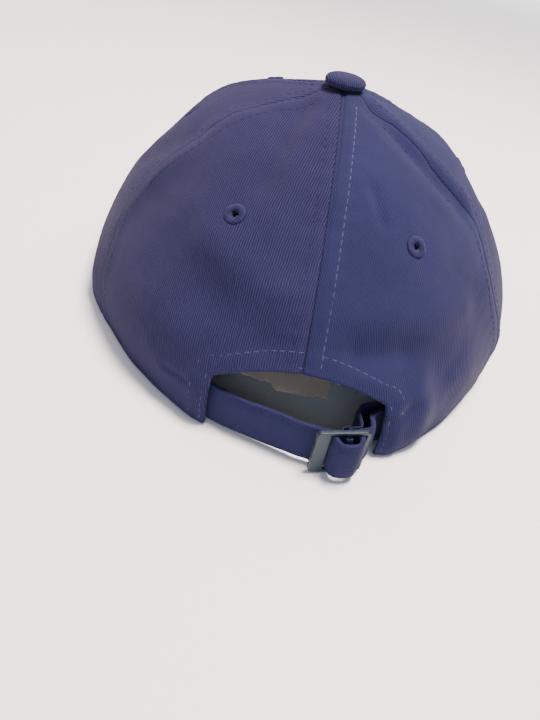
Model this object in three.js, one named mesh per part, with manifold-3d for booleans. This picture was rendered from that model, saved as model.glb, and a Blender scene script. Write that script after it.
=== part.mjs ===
// Six-panel cotton twill baseball cap with a back strap and a metal slide buckle.
// Millimetres, +Z up, brim toward -Y, strap toward +Y, wearer's left toward +X.
import * as THREE from 'three';
import { mergeVertices } from 'three/addons/utils/BufferGeometryUtils.js';
import Module from 'manifold-3d';

const wasm = await Module();
wasm.setup();

// Crown, measured to the outer face of the cloth
const CROWN_HALF_WIDTH = 86;
const CROWN_BACK_REACH = 108;
const CROWN_FRONT_REACH = 99;
const CROWN_HEIGHT = 88;
const BUTTON_SET_BACK = 20;
const RIM_FLARE_SHARE = 0.039;
const RIM_FLARE_PLACE = 0.85;
const RIM_FLARE_SPREAD = 0.17;
const TOP_LEAN_SHARE = 0.033;
const PEAK_HEIGHT = 3;
const PEAK_SPREAD = 0.12;
const CLOTH_WALL = 1.6;
const SEAM_GAP = 0.3;
const FIT_GAP = 0.3;
const TOP_HOLE_RADIUS = 3.6;

// Roundness exponents of the crown: how each quarter swells outward and falls
const SWELL = { side: 0.9, back: 1.32, front: 0.6 };
const FALL = { side: 1.03, back: 1.09, front: 1.15 };

// Seams between the panels: place round the crown in degrees, at shares of the way down
const SIDE_SEAM_LEFT = [
  { share: 0, turn: 60 },
  { share: 0.35, turn: 63 },
  { share: 0.65, turn: 66 },
  { share: 0.8, turn: 61 },
  { share: 1, turn: 60 },
];
const SIDE_SEAM_RIGHT = [
  { share: 0, turn: -60 },
  { share: 0.3, turn: -57 },
  { share: 0.52, turn: -62.5 },
  { share: 0.7, turn: -58 },
  { share: 0.85, turn: -60 },
  { share: 1, turn: -58 },
];
const FRONT_SEAM_TURN = 120;

// Creases in the cloth: lines on the crown, with half width and height in mm
const CREASES = [
  { turnFrom: -52, shareFrom: 0.1, turnTo: -50, shareTo: 0.2, halfWidth: 4.2, height: -2.2 },
  { turnFrom: -50.5, shareFrom: 0.25, turnTo: -59, shareTo: 0.46, halfWidth: 4.2, height: -2.2 },
  { turnFrom: -60, shareFrom: 0.17, turnTo: -57.5, shareTo: 0.26, halfWidth: 3.4, height: 1.1 },
  { turnFrom: -58, shareFrom: 0.3, turnTo: -63.5, shareTo: 0.46, halfWidth: 3.4, height: 1.1 },
  { turnFrom: 43, shareFrom: 0.13, turnTo: 34, shareTo: 0.22, halfWidth: 5.4, height: -1.9 },
  { turnFrom: 32, shareFrom: 0.26, turnTo: 27.5, shareTo: 0.355, halfWidth: 5.4, height: -1.7 },
  { turnFrom: 25, shareFrom: 0.14, turnTo: 20, shareTo: 0.4, halfWidth: 5, height: 0.9 },
  { turnFrom: 34, shareFrom: 0.54, turnTo: 8, shareTo: 0.56, halfWidth: 7, height: 1.1 },
  { turnFrom: -10, shareFrom: 0.58, turnTo: -42, shareTo: 0.64, halfWidth: 6.5, height: 1.3 },
  { turnFrom: -12, shareFrom: 0.67, turnTo: -23, shareTo: 0.68, halfWidth: 6, height: -2.2 },
  { turnFrom: -28.5, shareFrom: 0.715, turnTo: -36, shareTo: 0.77, halfWidth: 8, height: -1.5 },
  { turnFrom: 79, shareFrom: 0.6, turnTo: 66, shareTo: 0.42, halfWidth: 5, height: -1 },
  { turnFrom: 62, shareFrom: 0.57, turnTo: 55, shareTo: 0.25, halfWidth: 4, height: 0.8 },
  { turnFrom: -56, shareFrom: 0.66, turnTo: -61, shareTo: 0.84, halfWidth: 6, height: 1.2 },
  { turnFrom: 64, shareFrom: 0.3, turnTo: 64, shareTo: 0.72, halfWidth: 4, height: 0.9 },
  { turnFrom: 20, shareFrom: 0.84, turnTo: 31, shareTo: 0.87, halfWidth: 5, height: 0.9 },
  { turnFrom: -28.5, shareFrom: 0.74, turnTo: -29, shareTo: 0.94, halfWidth: 5, height: 1.4 },
];

// Broad dents and swells: centre on the crown, half sizes and height in mm
const DENTS = [
  { turn: 46, share: 0.63, halfTurnwise: 24, halfDownwise: 13, height: -2 },
  { turn: 23, share: 0.645, halfTurnwise: 14, halfDownwise: 10, height: -1.8 },
  { turn: 10, share: 0.69, halfTurnwise: 8, halfDownwise: 8, height: -1 },
  { turn: 31, share: 0.77, halfTurnwise: 12, halfDownwise: 9, height: 0.8 },
  { turn: -44, share: 0.9, halfTurnwise: 14, halfDownwise: 16, height: 0.8 },
  { turn: 44, share: 0.72, halfTurnwise: 18, halfDownwise: 18, height: 1.2 },
  { turn: 180, share: 0.34, halfTurnwise: 46, halfDownwise: 24, height: -3.8 },
  { turn: -180, share: 0.34, halfTurnwise: 46, halfDownwise: 24, height: -3.8 },
  { turn: -132, share: 0.34, halfTurnwise: 18, halfDownwise: 20, height: -2.4 },
  { turn: -94, share: 0.52, halfTurnwise: 16, halfDownwise: 14, height: -2.2 },
  { turn: 103, share: 0.6, halfTurnwise: 20, halfDownwise: 18, height: -2.2 },
  { turn: 84, share: 0.82, halfTurnwise: 18, halfDownwise: 14, height: -2.2 },
  { turn: 69, share: 0.96, halfTurnwise: 8, halfDownwise: 14, height: 1.4 },
  { turn: 44, share: 1, halfTurnwise: 24, halfDownwise: 22, height: -3 },
  { turn: -50, share: 1, halfTurnwise: 18, halfDownwise: 14, height: -1.9 },
  { turn: -23, share: 0.95, halfTurnwise: 8, halfDownwise: 16, height: 2.8 },
  { turn: 21, share: 0.88, halfTurnwise: 10, halfDownwise: 9, height: 1 },
];

// Strap opening in the two back panels
const ARCH_HALF_TURN = 18.8;
const ARCH_SIDE_HEIGHT = 20;
const ARCH_TOP_HEIGHT = 27.6;

// Eyelets
const EYELET_TURNS = { back: 30, side: 91, front: 150 };
const EYELET_SHARE = 0.45;
const EYELET_BORE_RADIUS = 1.5;
const EYELET_BARREL_WALL = 0.9;
const EYELET_LIP_WIDTH = 1.8;
const EYELET_LIP_HEIGHT = 1.1;

// Covered button
const BUTTON_RADIUS = 7.4;
const BUTTON_HEIGHT = 4.2;
const BUTTON_SHANK_CLEARANCE = 0.5;

// Brim
const BRIM_THICKNESS = 3.4;
const BRIM_REACH = 70;
const BRIM_FRONT_LIFT = 8;
const BRIM_FRONT_RISE = 12;
const BRIM_HALF_TURN = 68;
const BRIM_MARGIN_TURN = 5;
const BRIM_RAMP_TURN = 16;
const BRIM_CORNER_SET_BACK = 13;
const BRIM_CORNER_ANGLE = 80;

// Sweatband inside the rim
const BAND_HEIGHT = 30;
const BAND_WALL = 1.2;
const BAND_END_MARGIN_TURN = 11;
const BAND_CLEARANCE = 0.5;

// Strap, tab and buckle
const STRAP_WALL = 1.6;
const STRAP_HEIGHT = 14.4;
const STRAP_DROOP = 1.2;
const TAB_WALL = 1.4;
const BUCKLE_THICKNESS = 1.7;
const BUCKLE_RAIL = 1.2;
const BUCKLE_PLATE_WIDTH = 4.6;
const BUCKLE_END_BAR_WIDTH = 1.3;
const BUCKLE_WINDOW_WIDTH = 11.4;
const BUCKLE_MIDDLE_BAR_WIDTH = 1.5;
const BUCKLE_CORNER_RADIUS = 1.2;
const BUCKLE_TURN = -10;
const BUCKLE_STAND_OFF = 4.8;
const BUCKLE_YAW = 4;

// Care label hanging behind the arch
const LABEL_TURN_LEFT = 13.6;
const LABEL_TURN_RIGHT = -6.5;
const LABEL_DROP = 6.6;
const LABEL_TUCK = 9;
const LABEL_WALL = 0.8;

const DEGREE = Math.PI / 180;
const clamp = (value, low, high) => Math.min(high, Math.max(low, value));
const mix = (from, to, part) => from + (to - from) * part;
const smooth = (part) => part * part * (3 - 2 * part);

const paint = (color, roughness, metalness) =>
  new THREE.MeshStandardMaterial({ color, roughness, metalness });
const twill = paint('#3a3f63', 0.95, 0);
const thread = paint('#7f86a3', 0.85, 0);
const bandCloth = paint('#23263c', 0.95, 0);
const paintedMetal = paint('#5d6880', 0.45, 0.35);
const labelCloth = paint('#b3aca6', 0.9, 0);

// Weights of the side, back and front quarters at one place round the crown
function quarterValue(table, turn) {
  const side = Math.sin(turn * DEGREE) ** 2;
  const rest = 1 - side;
  return table.side * side + (Math.cos(turn * DEGREE) > 0 ? table.back : table.front) * rest;
}

// How far the cloth stands over the rest plane at the rim: it passes over the brim
function brimRise(turn) {
  const fromFront = Math.abs(180 - Math.abs(turn));
  return BRIM_FRONT_LIFT * Math.cos(clamp(fromFront, 0, 90) * DEGREE) ** 2;
}

function rimHeight(turn) {
  const fromFront = Math.abs(180 - Math.abs(turn));
  const end = BRIM_HALF_TURN + BRIM_MARGIN_TURN + BRIM_RAMP_TURN;
  const part = clamp((end - fromFront) / BRIM_RAMP_TURN, 0, 1);
  return brimRise(turn) + smooth(part) * (BRIM_THICKNESS + FIT_GAP);
}

// Point of the plain crown; share runs from 0 at the button to 1 at the rim
function plainCrown(turn, share) {
  const s = Math.sin(turn * DEGREE);
  const c = Math.cos(turn * DEGREE);
  const reach = c > 0 ? CROWN_BACK_REACH : CROWN_FRONT_REACH;
  const swell = quarterValue(SWELL, turn);
  const along = share ** (1 / swell);
  const flare = RIM_FLARE_SHARE * Math.exp(-(((along - RIM_FLARE_PLACE) / RIM_FLARE_SPREAD) ** 2));
  const out = Math.sin(Math.min(along, 1) * Math.PI / 2) ** swell * (1 + flare);
  const fall = Math.max(Math.cos(along * Math.PI / 2), 0) ** quarterValue(FALL, turn);
  const x = CROWN_HALF_WIDTH * s * out;
  const y = BUTTON_SET_BACK * (1 - out) + reach * c * out;
  const rim = rimHeight(turn);
  const lean = TOP_LEAN_SHARE * (y - BUTTON_SET_BACK) * fall;
  const peak = PEAK_HEIGHT * Math.exp(-((share / PEAK_SPREAD) ** 2));
  return new THREE.Vector3(x, y, rim + (CROWN_HEIGHT - rim) * fall + lean + peak);
}

function plainNormal(turn, share) {
  const turnStep = 0.5;
  const shareStep = 0.004;
  const low = clamp(share - shareStep, 0.004, 1 - shareStep);
  const round = plainCrown(turn + turnStep, share).sub(plainCrown(turn - turnStep, share));
  const down = plainCrown(turn, low + shareStep).sub(plainCrown(turn, low));
  return round.cross(down).normalize();
}

// Length in mm of one degree round the crown, and of the way down it
function degreeLength(share) {
  return CROWN_HALF_WIDTH * DEGREE * Math.sin(clamp(share, 0.02, 1) * Math.PI / 2);
}
const DOWN_LENGTH = (CROWN_HEIGHT + CROWN_HALF_WIDTH) * 0.83;

function foldHeight(turn, share) {
  const wide = degreeLength(share);
  let height = 0;
  for (const crease of CREASES) {
    const ax = crease.turnFrom * wide;
    const ay = crease.shareFrom * DOWN_LENGTH;
    const bx = crease.turnTo * wide;
    const by = crease.shareTo * DOWN_LENGTH;
    const px = turn * wide - ax;
    const py = share * DOWN_LENGTH - ay;
    const length = (bx - ax) ** 2 + (by - ay) ** 2;
    const part = clamp((px * (bx - ax) + py * (by - ay)) / length, 0, 1);
    const away = (px - part * (bx - ax)) ** 2 + (py - part * (by - ay)) ** 2;
    height += crease.height * Math.exp(-away / crease.halfWidth ** 2);
  }
  for (const dent of DENTS) {
    const across = (turn - dent.turn) * wide / dent.halfTurnwise;
    const down = (share - dent.share) * DOWN_LENGTH / dent.halfDownwise;
    height += dent.height * Math.exp(-(across ** 2) - down ** 2);
  }
  return height;
}

// Point of the folded cloth, moved out along the crown's own direction
function crown(turn, share, lift) {
  const point = plainCrown(turn, share);
  const outward = plainNormal(turn, share);
  return point.addScaledVector(outward, lift + foldHeight(turn, share));
}

// Share of the way down where the crown stands at one height
function shareAtHeight(turn, height) {
  let low = 0.3;
  let high = 1;
  for (let step = 0; step < 30; step += 1) {
    const middle = (low + high) / 2;
    if (plainCrown(turn, middle).z > height) low = middle;
    else high = middle;
  }
  return (low + high) / 2;
}

function seamTurn(seam, share) {
  if (typeof seam === 'number') return seam;
  const next = seam.findIndex((row) => row.share >= share);
  if (next <= 0) return seam[0].turn;
  const from = seam[next - 1];
  const to = seam[next];
  return mix(from.turn, to.turn, smooth((share - from.share) / (to.share - from.share)));
}

// Half a seam gap, as degrees round the crown
function gapTurn(turn, share) {
  const perDegree = plainCrown(turn + 0.5, share).distanceTo(plainCrown(turn - 0.5, share));
  return SEAM_GAP / 2 / perDegree;
}

// Closed mesh from points and triangles
function solid(points, triangles) {
  const geometry = new THREE.BufferGeometry();
  geometry.setAttribute('position', new THREE.Float32BufferAttribute(points.flat(), 3));
  geometry.setIndex(triangles.flat());
  geometry.computeVertexNormals();
  return geometry;
}

// Sheet of cloth: a grid of places with an outer and an inner face and walls at its edges
function sheet(rows, columns, hasCell, outerAt, innerAt) {
  const points = [];
  const places = new Map();
  const triangles = [];
  const place = (row, column) => {
    const key = row * (columns + 1) + column;
    if (!places.has(key)) {
      places.set(key, points.length);
      points.push(outerAt(row, column).toArray(), innerAt(row, column).toArray());
    }
    return places.get(key);
  };
  const filled = (row, column) =>
    row >= 0 && row < rows && column >= 0 && column < columns && hasCell(row, column);
  const wall = (from, to) => {
    triangles.push([to, from, from + 1], [to, from + 1, to + 1]);
  };
  for (let row = 0; row < rows; row += 1) {
    for (let column = 0; column < columns; column += 1) {
      if (!filled(row, column)) continue;
      const a = place(row, column);
      const b = place(row, column + 1);
      const c = place(row + 1, column + 1);
      const d = place(row + 1, column);
      triangles.push([a, b, c], [a, c, d], [a + 1, c + 1, b + 1], [a + 1, d + 1, c + 1]);
      if (!filled(row - 1, column)) wall(a, b);
      if (!filled(row, column + 1)) wall(b, c);
      if (!filled(row + 1, column)) wall(c, d);
      if (!filled(row, column - 1)) wall(d, a);
    }
  }
  return solid(points, triangles);
}

// Ring or disc turned about Z; a profile that starts and ends on the axis closes there
function turned(profile, segments, closedLoop) {
  const points = [];
  const triangles = [];
  const rings = profile.map(([radius, height]) => {
    const first = points.length;
    if (radius === 0) {
      points.push([0, 0, height]);
      return { first, single: true };
    }
    for (let segment = 0; segment < segments; segment += 1) {
      const angle = segment / segments * 2 * Math.PI;
      points.push([radius * Math.cos(angle), radius * Math.sin(angle), height]);
    }
    return { first, single: false };
  });
  const at = (ring, segment) => (ring.single ? ring.first : ring.first + segment % segments);
  const last = closedLoop ? rings.length : rings.length - 1;
  for (let index = 0; index < last; index += 1) {
    const from = rings[index];
    const to = rings[(index + 1) % rings.length];
    for (let segment = 0; segment < segments; segment += 1) {
      const a = at(from, segment);
      const b = at(from, segment + 1);
      const c = at(to, segment + 1);
      const d = at(to, segment);
      if (!from.single) triangles.push([a, b, c]);
      if (!to.single) triangles.push([a, c, d]);
    }
  }
  return solid(points, triangles);
}

function toManifold(geometry) {
  const vertProperties = new Float32Array(geometry.attributes.position.array);
  const triVerts = new Uint32Array(geometry.index.array);
  return new wasm.Manifold(new wasm.Mesh({ numProp: 3, vertProperties, triVerts }));
}

function fromManifold(body) {
  const mesh = body.getMesh();
  const geometry = new THREE.BufferGeometry();
  geometry.setAttribute('position', new THREE.Float32BufferAttribute(mesh.vertProperties, 3));
  geometry.setIndex(Array.from(mesh.triVerts));
  geometry.computeVertexNormals();
  return geometry;
}

function node(name, geometry, material) {
  const mesh = new THREE.Mesh(geometry, material);
  mesh.name = name;
  return mesh;
}

function branch(name, children) {
  const group = new THREE.Group();
  group.name = name;
  group.add(...children);
  return group;
}

// Where an eyelet sits: its centre on the cloth and its axis
function eyeletPlace(turn) {
  const centre = crown(turn, EYELET_SHARE, 0);
  const axis = plainNormal(turn, EYELET_SHARE);
  const spin = new THREE.Quaternion().setFromUnitVectors(new THREE.Vector3(0, 0, 1), axis);
  return new THREE.Matrix4().compose(centre, spin, new THREE.Vector3(1, 1, 1));
}

const BARREL_RADIUS = EYELET_BORE_RADIUS + EYELET_BARREL_WALL;

function eyeletHole(turn) {
  const radius = BARREL_RADIUS + FIT_GAP;
  const depth = CLOTH_WALL * 4;
  const drill = turned([[0, -depth], [radius, -depth], [radius, depth], [0, depth]], 20, false);
  drill.applyMatrix4(eyeletPlace(turn));
  return toManifold(drill);
}

function eyelet(turn) {
  const lip = BARREL_RADIUS + EYELET_LIP_WIDTH;
  const top = FIT_GAP + EYELET_LIP_HEIGHT;
  const profile = [
    [EYELET_BORE_RADIUS, -CLOTH_WALL],
    [BARREL_RADIUS, -CLOTH_WALL],
    [BARREL_RADIUS, FIT_GAP],
    [lip * 0.97, FIT_GAP],
    [lip, FIT_GAP + EYELET_LIP_HEIGHT * 0.4],
    [mix(BARREL_RADIUS, lip, 0.55), top],
    [mix(EYELET_BORE_RADIUS, BARREL_RADIUS, 0.5), top],
    [EYELET_BORE_RADIUS, FIT_GAP + EYELET_LIP_HEIGHT * 0.4],
  ];
  const ring = turned(profile, 20, true);
  ring.applyMatrix4(eyeletPlace(turn));
  return ring;
}

// Share of the way down where the panels leave the hole under the button
function topShare(turn) {
  const reach = plainCrown(turn, 0.03).distanceTo(plainCrown(turn, 0.0001));
  return 0.03 * TOP_HOLE_RADIUS / reach;
}

const ROWS = 17;
const ARCH_ROWS = 13;
const CORNER_SHARE = shareAtHeight(ARCH_HALF_TURN, ARCH_SIDE_HEIGHT);

// Share at one row of a panel: even steps to the height of the arch corner, then to the rim
function rowShare(row, turn, cornerShare) {
  if (row <= ARCH_ROWS) return mix(topShare(turn), cornerShare, row / ARCH_ROWS);
  return mix(cornerShare, 1, (row - ARCH_ROWS) / (ROWS - ARCH_ROWS));
}

// One of the six panels, from seam to seam; the back ones stop at the arch
function panel(fromSeam, toSeam, columns, archColumns, archAtStart) {
  const archColumn = archAtStart ? archColumns : columns - archColumns;
  const archSide = archAtStart ? ARCH_HALF_TURN : -ARCH_HALF_TURN;
  const underArch = (column) => archColumns > 0
    && (archAtStart ? column < archColumn : column >= archColumn);
  const place = (row, column) => {
    const level = rowShare(row, 90, CORNER_SHARE);
    const fromTurn = seamTurn(fromSeam, level);
    const toTurn = seamTurn(toSeam, level);
    const start = fromTurn + gapTurn(fromTurn, level);
    const end = toTurn - gapTurn(toTurn, level);
    if (archColumns === 0) {
      const turn = mix(start, end, column / columns);
      return [turn, rowShare(row, turn, CORNER_SHARE)];
    }
    const side = archSide * Math.min(1, 0.55 + row / ROWS);
    const onArch = archAtStart ? column <= archColumn : column >= archColumn;
    const centre = archAtStart ? start : end;
    const far = archAtStart ? end : start;
    const fromCentre = archAtStart ? column : columns - column;
    const turn = onArch
      ? mix(centre, side, fromCentre / archColumns)
      : mix(side, far, (fromCentre - archColumns) / (columns - archColumns));
    const spread = Math.min(1, Math.abs(turn / ARCH_HALF_TURN));
    const hemHeight = mix(ARCH_TOP_HEIGHT, ARCH_SIDE_HEIGHT, spread ** 2);
    const hem = onArch ? shareAtHeight(turn, hemHeight) : CORNER_SHARE;
    return [turn, rowShare(row, turn, hem)];
  };
  const at = (lift) => (row, column) => {
    const [turn, share] = place(row, column);
    const point = crown(turn, share, lift);
    if (share === 1) point.z = rimHeight(turn);
    return point;
  };
  const hasCell = (row, column) => row < ARCH_ROWS || !underArch(column);
  return sheet(ROWS, columns, hasCell, at(0), at(-CLOTH_WALL));
}

function panelWithEyelet(name, fromSeam, toSeam, eyeletTurn, columns, archColumns, archAtStart) {
  const cloth = panel(fromSeam, toSeam, columns, archColumns, archAtStart);
  const pierced = toManifold(cloth).subtract(eyeletHole(eyeletTurn));
  return node(name, fromManifold(pierced), twill);
}

const panels = branch('crown', [
  panelWithEyelet('panel_back_left', 0, SIDE_SEAM_LEFT, EYELET_TURNS.back, 15, 6, true),
  panelWithEyelet('panel_side_left', SIDE_SEAM_LEFT, FRONT_SEAM_TURN, EYELET_TURNS.side, 11, 0),
  panelWithEyelet('panel_front_left', FRONT_SEAM_TURN, 180, EYELET_TURNS.front, 11, 0),
  panelWithEyelet('panel_front_right', -180, -FRONT_SEAM_TURN, -EYELET_TURNS.front, 11, 0),
  panelWithEyelet('panel_side_right', -FRONT_SEAM_TURN, SIDE_SEAM_RIGHT, -EYELET_TURNS.side, 11, 0),
  panelWithEyelet('panel_back_right', SIDE_SEAM_RIGHT, 0, -EYELET_TURNS.back, 19, 6, false),
]);

const eyelets = branch('eyelets', [
  node('eyelet_back_left', eyelet(EYELET_TURNS.back), thread),
  node('eyelet_back_right', eyelet(-EYELET_TURNS.back), thread),
  node('eyelet_side_left', eyelet(EYELET_TURNS.side), thread),
  node('eyelet_side_right', eyelet(-EYELET_TURNS.side), thread),
  node('eyelet_front_left', eyelet(EYELET_TURNS.front), thread),
  node('eyelet_front_right', eyelet(-EYELET_TURNS.front), thread),
]);

// Button: a domed disc over the top hole, with a shank down through the cloth
function button() {
  const base = CROWN_HEIGHT + PEAK_HEIGHT + FIT_GAP;
  const shank = TOP_HOLE_RADIUS - FIT_GAP - BUTTON_SHANK_CLEARANCE;
  const profile = [
    [0, base - FIT_GAP - CLOTH_WALL],
    [shank, base - FIT_GAP - CLOTH_WALL],
    [shank, base],
    [BUTTON_RADIUS * 0.93, base],
    [BUTTON_RADIUS, base + BUTTON_HEIGHT * 0.22],
    [BUTTON_RADIUS * 0.97, base + BUTTON_HEIGHT * 0.6],
    [BUTTON_RADIUS * 0.8, base + BUTTON_HEIGHT * 0.85],
    [BUTTON_RADIUS * 0.45, base + BUTTON_HEIGHT * 0.97],
    [0, base + BUTTON_HEIGHT],
  ];
  const disc = turned(profile, 28, false);
  disc.translate(0, BUTTON_SET_BACK, 0);
  return disc;
}

// Brim: inner edge under the front rim, outer edge a rounded plan, arched across
function brim() {
  const columns = 28;
  const rows = 9;
  const rimWidth = plainCrown(90, 1).x;
  const cornerY = plainCrown(180 - BRIM_HALF_TURN, 1).y + BRIM_CORNER_SET_BACK;
  const frontY = plainCrown(180, 1).y - BRIM_REACH;
  const edgeWidth = rimWidth * Math.sin(BRIM_CORNER_ANGLE * DEGREE) ** 0.8;
  const bottomAt = (row, column) => {
    const part = column / columns * 2 - 1;
    const reach = row / rows;
    const turn = 180 + part * BRIM_HALF_TURN;
    const rim = plainCrown(turn, 1);
    const inset = (CROWN_HALF_WIDTH - CLOTH_WALL) / CROWN_HALF_WIDTH;
    const angle = part * BRIM_CORNER_ANGLE * DEGREE;
    const outerX = -rimWidth * Math.sign(part) * Math.abs(Math.sin(angle)) ** 0.8;
    const outerY = mix(cornerY, frontY, Math.cos(angle) ** 0.75);
    const x = mix(rim.x * inset, outerX, reach);
    const y = mix(rim.y * inset, outerY, reach);
    const arch = Math.max(0, 1 - (x / edgeWidth) ** 2);
    return new THREE.Vector3(x, y, (BRIM_FRONT_LIFT + BRIM_FRONT_RISE * smooth(reach)) * arch);
  };
  const topAt = (row, column) => {
    const point = bottomAt(row, column);
    point.z += BRIM_THICKNESS;
    return point;
  };
  return sheet(rows, columns, () => true, topAt, bottomAt);
}

// Sweatband: from inside one tail round the front to the other
function sweatband() {
  const columns = 50;
  const rows = 3;
  const ends = ARCH_HALF_TURN + BAND_END_MARGIN_TURN;
  const outerLift = -CLOTH_WALL - BAND_CLEARANCE;
  const at = (lift) => (row, column) => {
    const turn = mix(ends, 360 - ends, column / columns);
    const wrapped = turn > 180 ? turn - 360 : turn;
    const topHeight = rimHeight(wrapped) + BAND_HEIGHT;
    const share = mix(shareAtHeight(wrapped, topHeight), 1, row / rows);
    const point = crown(wrapped, share, lift);
    if (row === rows) point.z = rimHeight(wrapped);
    return point;
  };
  return sheet(rows, columns, () => true, at(outerLift), at(outerLift - BAND_WALL));
}

// Plan of the rim, for the strap: a place round it, moved out level
function rimPlan(turn, out) {
  const before = plainCrown(turn - 0.5, 1);
  const after = plainCrown(turn + 0.5, 1);
  const round = new THREE.Vector2(after.x - before.x, after.y - before.y).normalize();
  const point = plainCrown(turn, 1);
  return new THREE.Vector2(point.x - round.y * out, point.y + round.x * out);
}

// Buckle frame in plan: s runs to the wearer's right along the strap, n outward
const buckleOrigin = rimPlan(BUCKLE_TURN, BUCKLE_STAND_OFF);
const buckleAngle = (180 - BUCKLE_TURN + BUCKLE_YAW) * DEGREE;
const alongBuckle = new THREE.Vector2(Math.cos(buckleAngle), Math.sin(buckleAngle));
const outOfBuckle = new THREE.Vector2(alongBuckle.y, -alongBuckle.x);

function bucklePlan(s, n) {
  return buckleOrigin.clone().addScaledVector(alongBuckle, s).addScaledVector(outOfBuckle, n);
}

const UNDER_BUCKLE = STRAP_WALL / 2 + FIT_GAP;
const BAR_HALF = BUCKLE_MIDDLE_BAR_WIDTH / 2;
const LOOP_HALF = BAR_HALF + FIT_GAP + TAB_WALL * 0.64;
const LOOP_TOP = UNDER_BUCKLE + BUCKLE_THICKNESS + FIT_GAP + TAB_WALL * 0.64;
const HUMP_TOP = LOOP_TOP + FIT_GAP * 2 + STRAP_WALL / 2 + 1.4;
const HUMP_SIDE = BUCKLE_WINDOW_WIDTH / 2 - UNDER_BUCKLE - 0.1;

// Turns an open line in plan into a closed outline of one thickness
function ribbon(line, thickness) {
  const sides = [[], []];
  line.forEach((point, index) => {
    const before = line[Math.max(0, index - 1)];
    const after = line[Math.min(line.length - 1, index + 1)];
    const first = point.clone().sub(before).normalize();
    const second = after.clone().sub(point).normalize();
    const tangent = first.clone().add(second).normalize();
    const normal = new THREE.Vector2(-tangent.y, tangent.x);
    const bend = Math.max(0.6, Math.abs(index > 0 && index < line.length - 1
      ? normal.dot(new THREE.Vector2(-second.y, second.x)) : 1));
    const reach = thickness / 2 / bend;
    sides[0].push(point.clone().addScaledVector(normal, reach));
    sides[1].push(point.clone().addScaledVector(normal, -reach));
  });
  return [...sides[0], ...sides[1].reverse()];
}

// Upright piece from a closed plan outline
function upright(outline, holes, bottom, height) {
  const shape = new THREE.Shape(outline);
  for (const hole of holes) shape.holes.push(new THREE.Path(hole));
  const geometry = new THREE.ExtrudeGeometry(shape, { depth: height, bevelEnabled: false });
  geometry.translate(0, 0, bottom);
  geometry.deleteAttribute('uv');
  geometry.deleteAttribute('normal');
  return geometry;
}

// Smooth curve through plan points
function curveThrough(points, divisions) {
  return new THREE.SplineCurve(points).getPoints(divisions);
}

const STRAP_BOTTOM = BUCKLE_RAIL + FIT_GAP;

// How far the folded tail sits inside the plain rim, over the height of the strap
function tailSetBack(turn) {
  const rim = plainCrown(turn, 1);
  const outward = rimPlan(turn, 1).sub(new THREE.Vector2(rim.x, rim.y));
  const depths = [0.05, 0.4, 0.7, 1].map((part) => {
    const height = (STRAP_BOTTOM + STRAP_HEIGHT) * part;
    const point = crown(turn, shareAtHeight(turn, height), 0);
    return outward.dot(new THREE.Vector2(rim.x - point.x, rim.y - point.y));
  });
  return Math.max(...depths);
}
const TUCK_LEFT = -CLOTH_WALL - FIT_GAP * 2 - tailSetBack(ARCH_HALF_TURN + 2);
const TUCK_RIGHT = -CLOTH_WALL - FIT_GAP * 2 - tailSetBack(-ARCH_HALF_TURN - 2);

function strapLine() {
  const tuckLeft = TUCK_LEFT - STRAP_WALL / 2;
  const tuckRight = TUCK_RIGHT - STRAP_WALL / 2;
  const left = curveThrough([
    rimPlan(ARCH_HALF_TURN + 8.6, tuckLeft - 1),
    rimPlan(ARCH_HALF_TURN + 4, tuckLeft - 0.4),
    rimPlan(ARCH_HALF_TURN - 0.5, tuckLeft + 0.3),
    rimPlan(ARCH_HALF_TURN - 7, tuckLeft + 1.3),
    rimPlan(ARCH_HALF_TURN - 14, tuckLeft + 2.9),
    bucklePlan(-BUCKLE_WINDOW_WIDTH / 2 - BUCKLE_PLATE_WIDTH - 3, -3.6),
    bucklePlan(-BUCKLE_WINDOW_WIDTH / 2 - BUCKLE_PLATE_WIDTH, -2.2),
    bucklePlan(-BUCKLE_WINDOW_WIDTH / 2 - BUCKLE_PLATE_WIDTH / 2, -0.9),
    bucklePlan(-BUCKLE_WINDOW_WIDTH / 2, -0.1),
  ], 30);
  const hump = [
    [-HUMP_SIDE - 0.6, 0],
    [-HUMP_SIDE, 0.6],
    [-HUMP_SIDE, LOOP_TOP - 0.8],
    [-HUMP_SIDE * 0.72, HUMP_TOP - 0.6],
    [0, HUMP_TOP],
    [HUMP_SIDE * 0.72, HUMP_TOP - 0.6],
    [HUMP_SIDE, LOOP_TOP - 0.8],
    [HUMP_SIDE, 0.6],
    [HUMP_SIDE + 0.6, 0],
  ].map(([s, n]) => bucklePlan(s, n));
  const right = curveThrough([
    bucklePlan(BUCKLE_WINDOW_WIDTH / 2 + BUCKLE_END_BAR_WIDTH, 0),
    bucklePlan(BUCKLE_WINDOW_WIDTH / 2 + BUCKLE_END_BAR_WIDTH + 2.2, -1),
    bucklePlan(BUCKLE_WINDOW_WIDTH / 2 + BUCKLE_END_BAR_WIDTH + 3.2, -3.8),
    rimPlan(-ARCH_HALF_TURN + 1.5, tuckRight + 0.8),
    rimPlan(-ARCH_HALF_TURN - 1.5, tuckRight - 0.8),
    rimPlan(-ARCH_HALF_TURN - 6.5, tuckRight - 1.4),
  ], 12);
  return [...left, ...hump, ...right];
}

// The strap runs level through the buckle and droops a little toward the left tail
function strap() {
  const geometry = upright(ribbon(strapLine(), STRAP_WALL), [], STRAP_BOTTOM, STRAP_HEIGHT);
  const places = geometry.getAttribute('position');
  const levelTo = BUCKLE_WINDOW_WIDTH / 2 + BUCKLE_PLATE_WIDTH + 2;
  for (let index = 0; index < places.count; index += 1) {
    const plan = new THREE.Vector2(places.getX(index), places.getY(index)).sub(buckleOrigin);
    const beyond = -plan.dot(alongBuckle) - levelTo;
    const part = THREE.MathUtils.clamp(beyond / levelTo / 2, 0, 1);
    places.setZ(index, places.getZ(index) - STRAP_DROOP * smooth(part));
  }
  return geometry;
}

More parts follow.
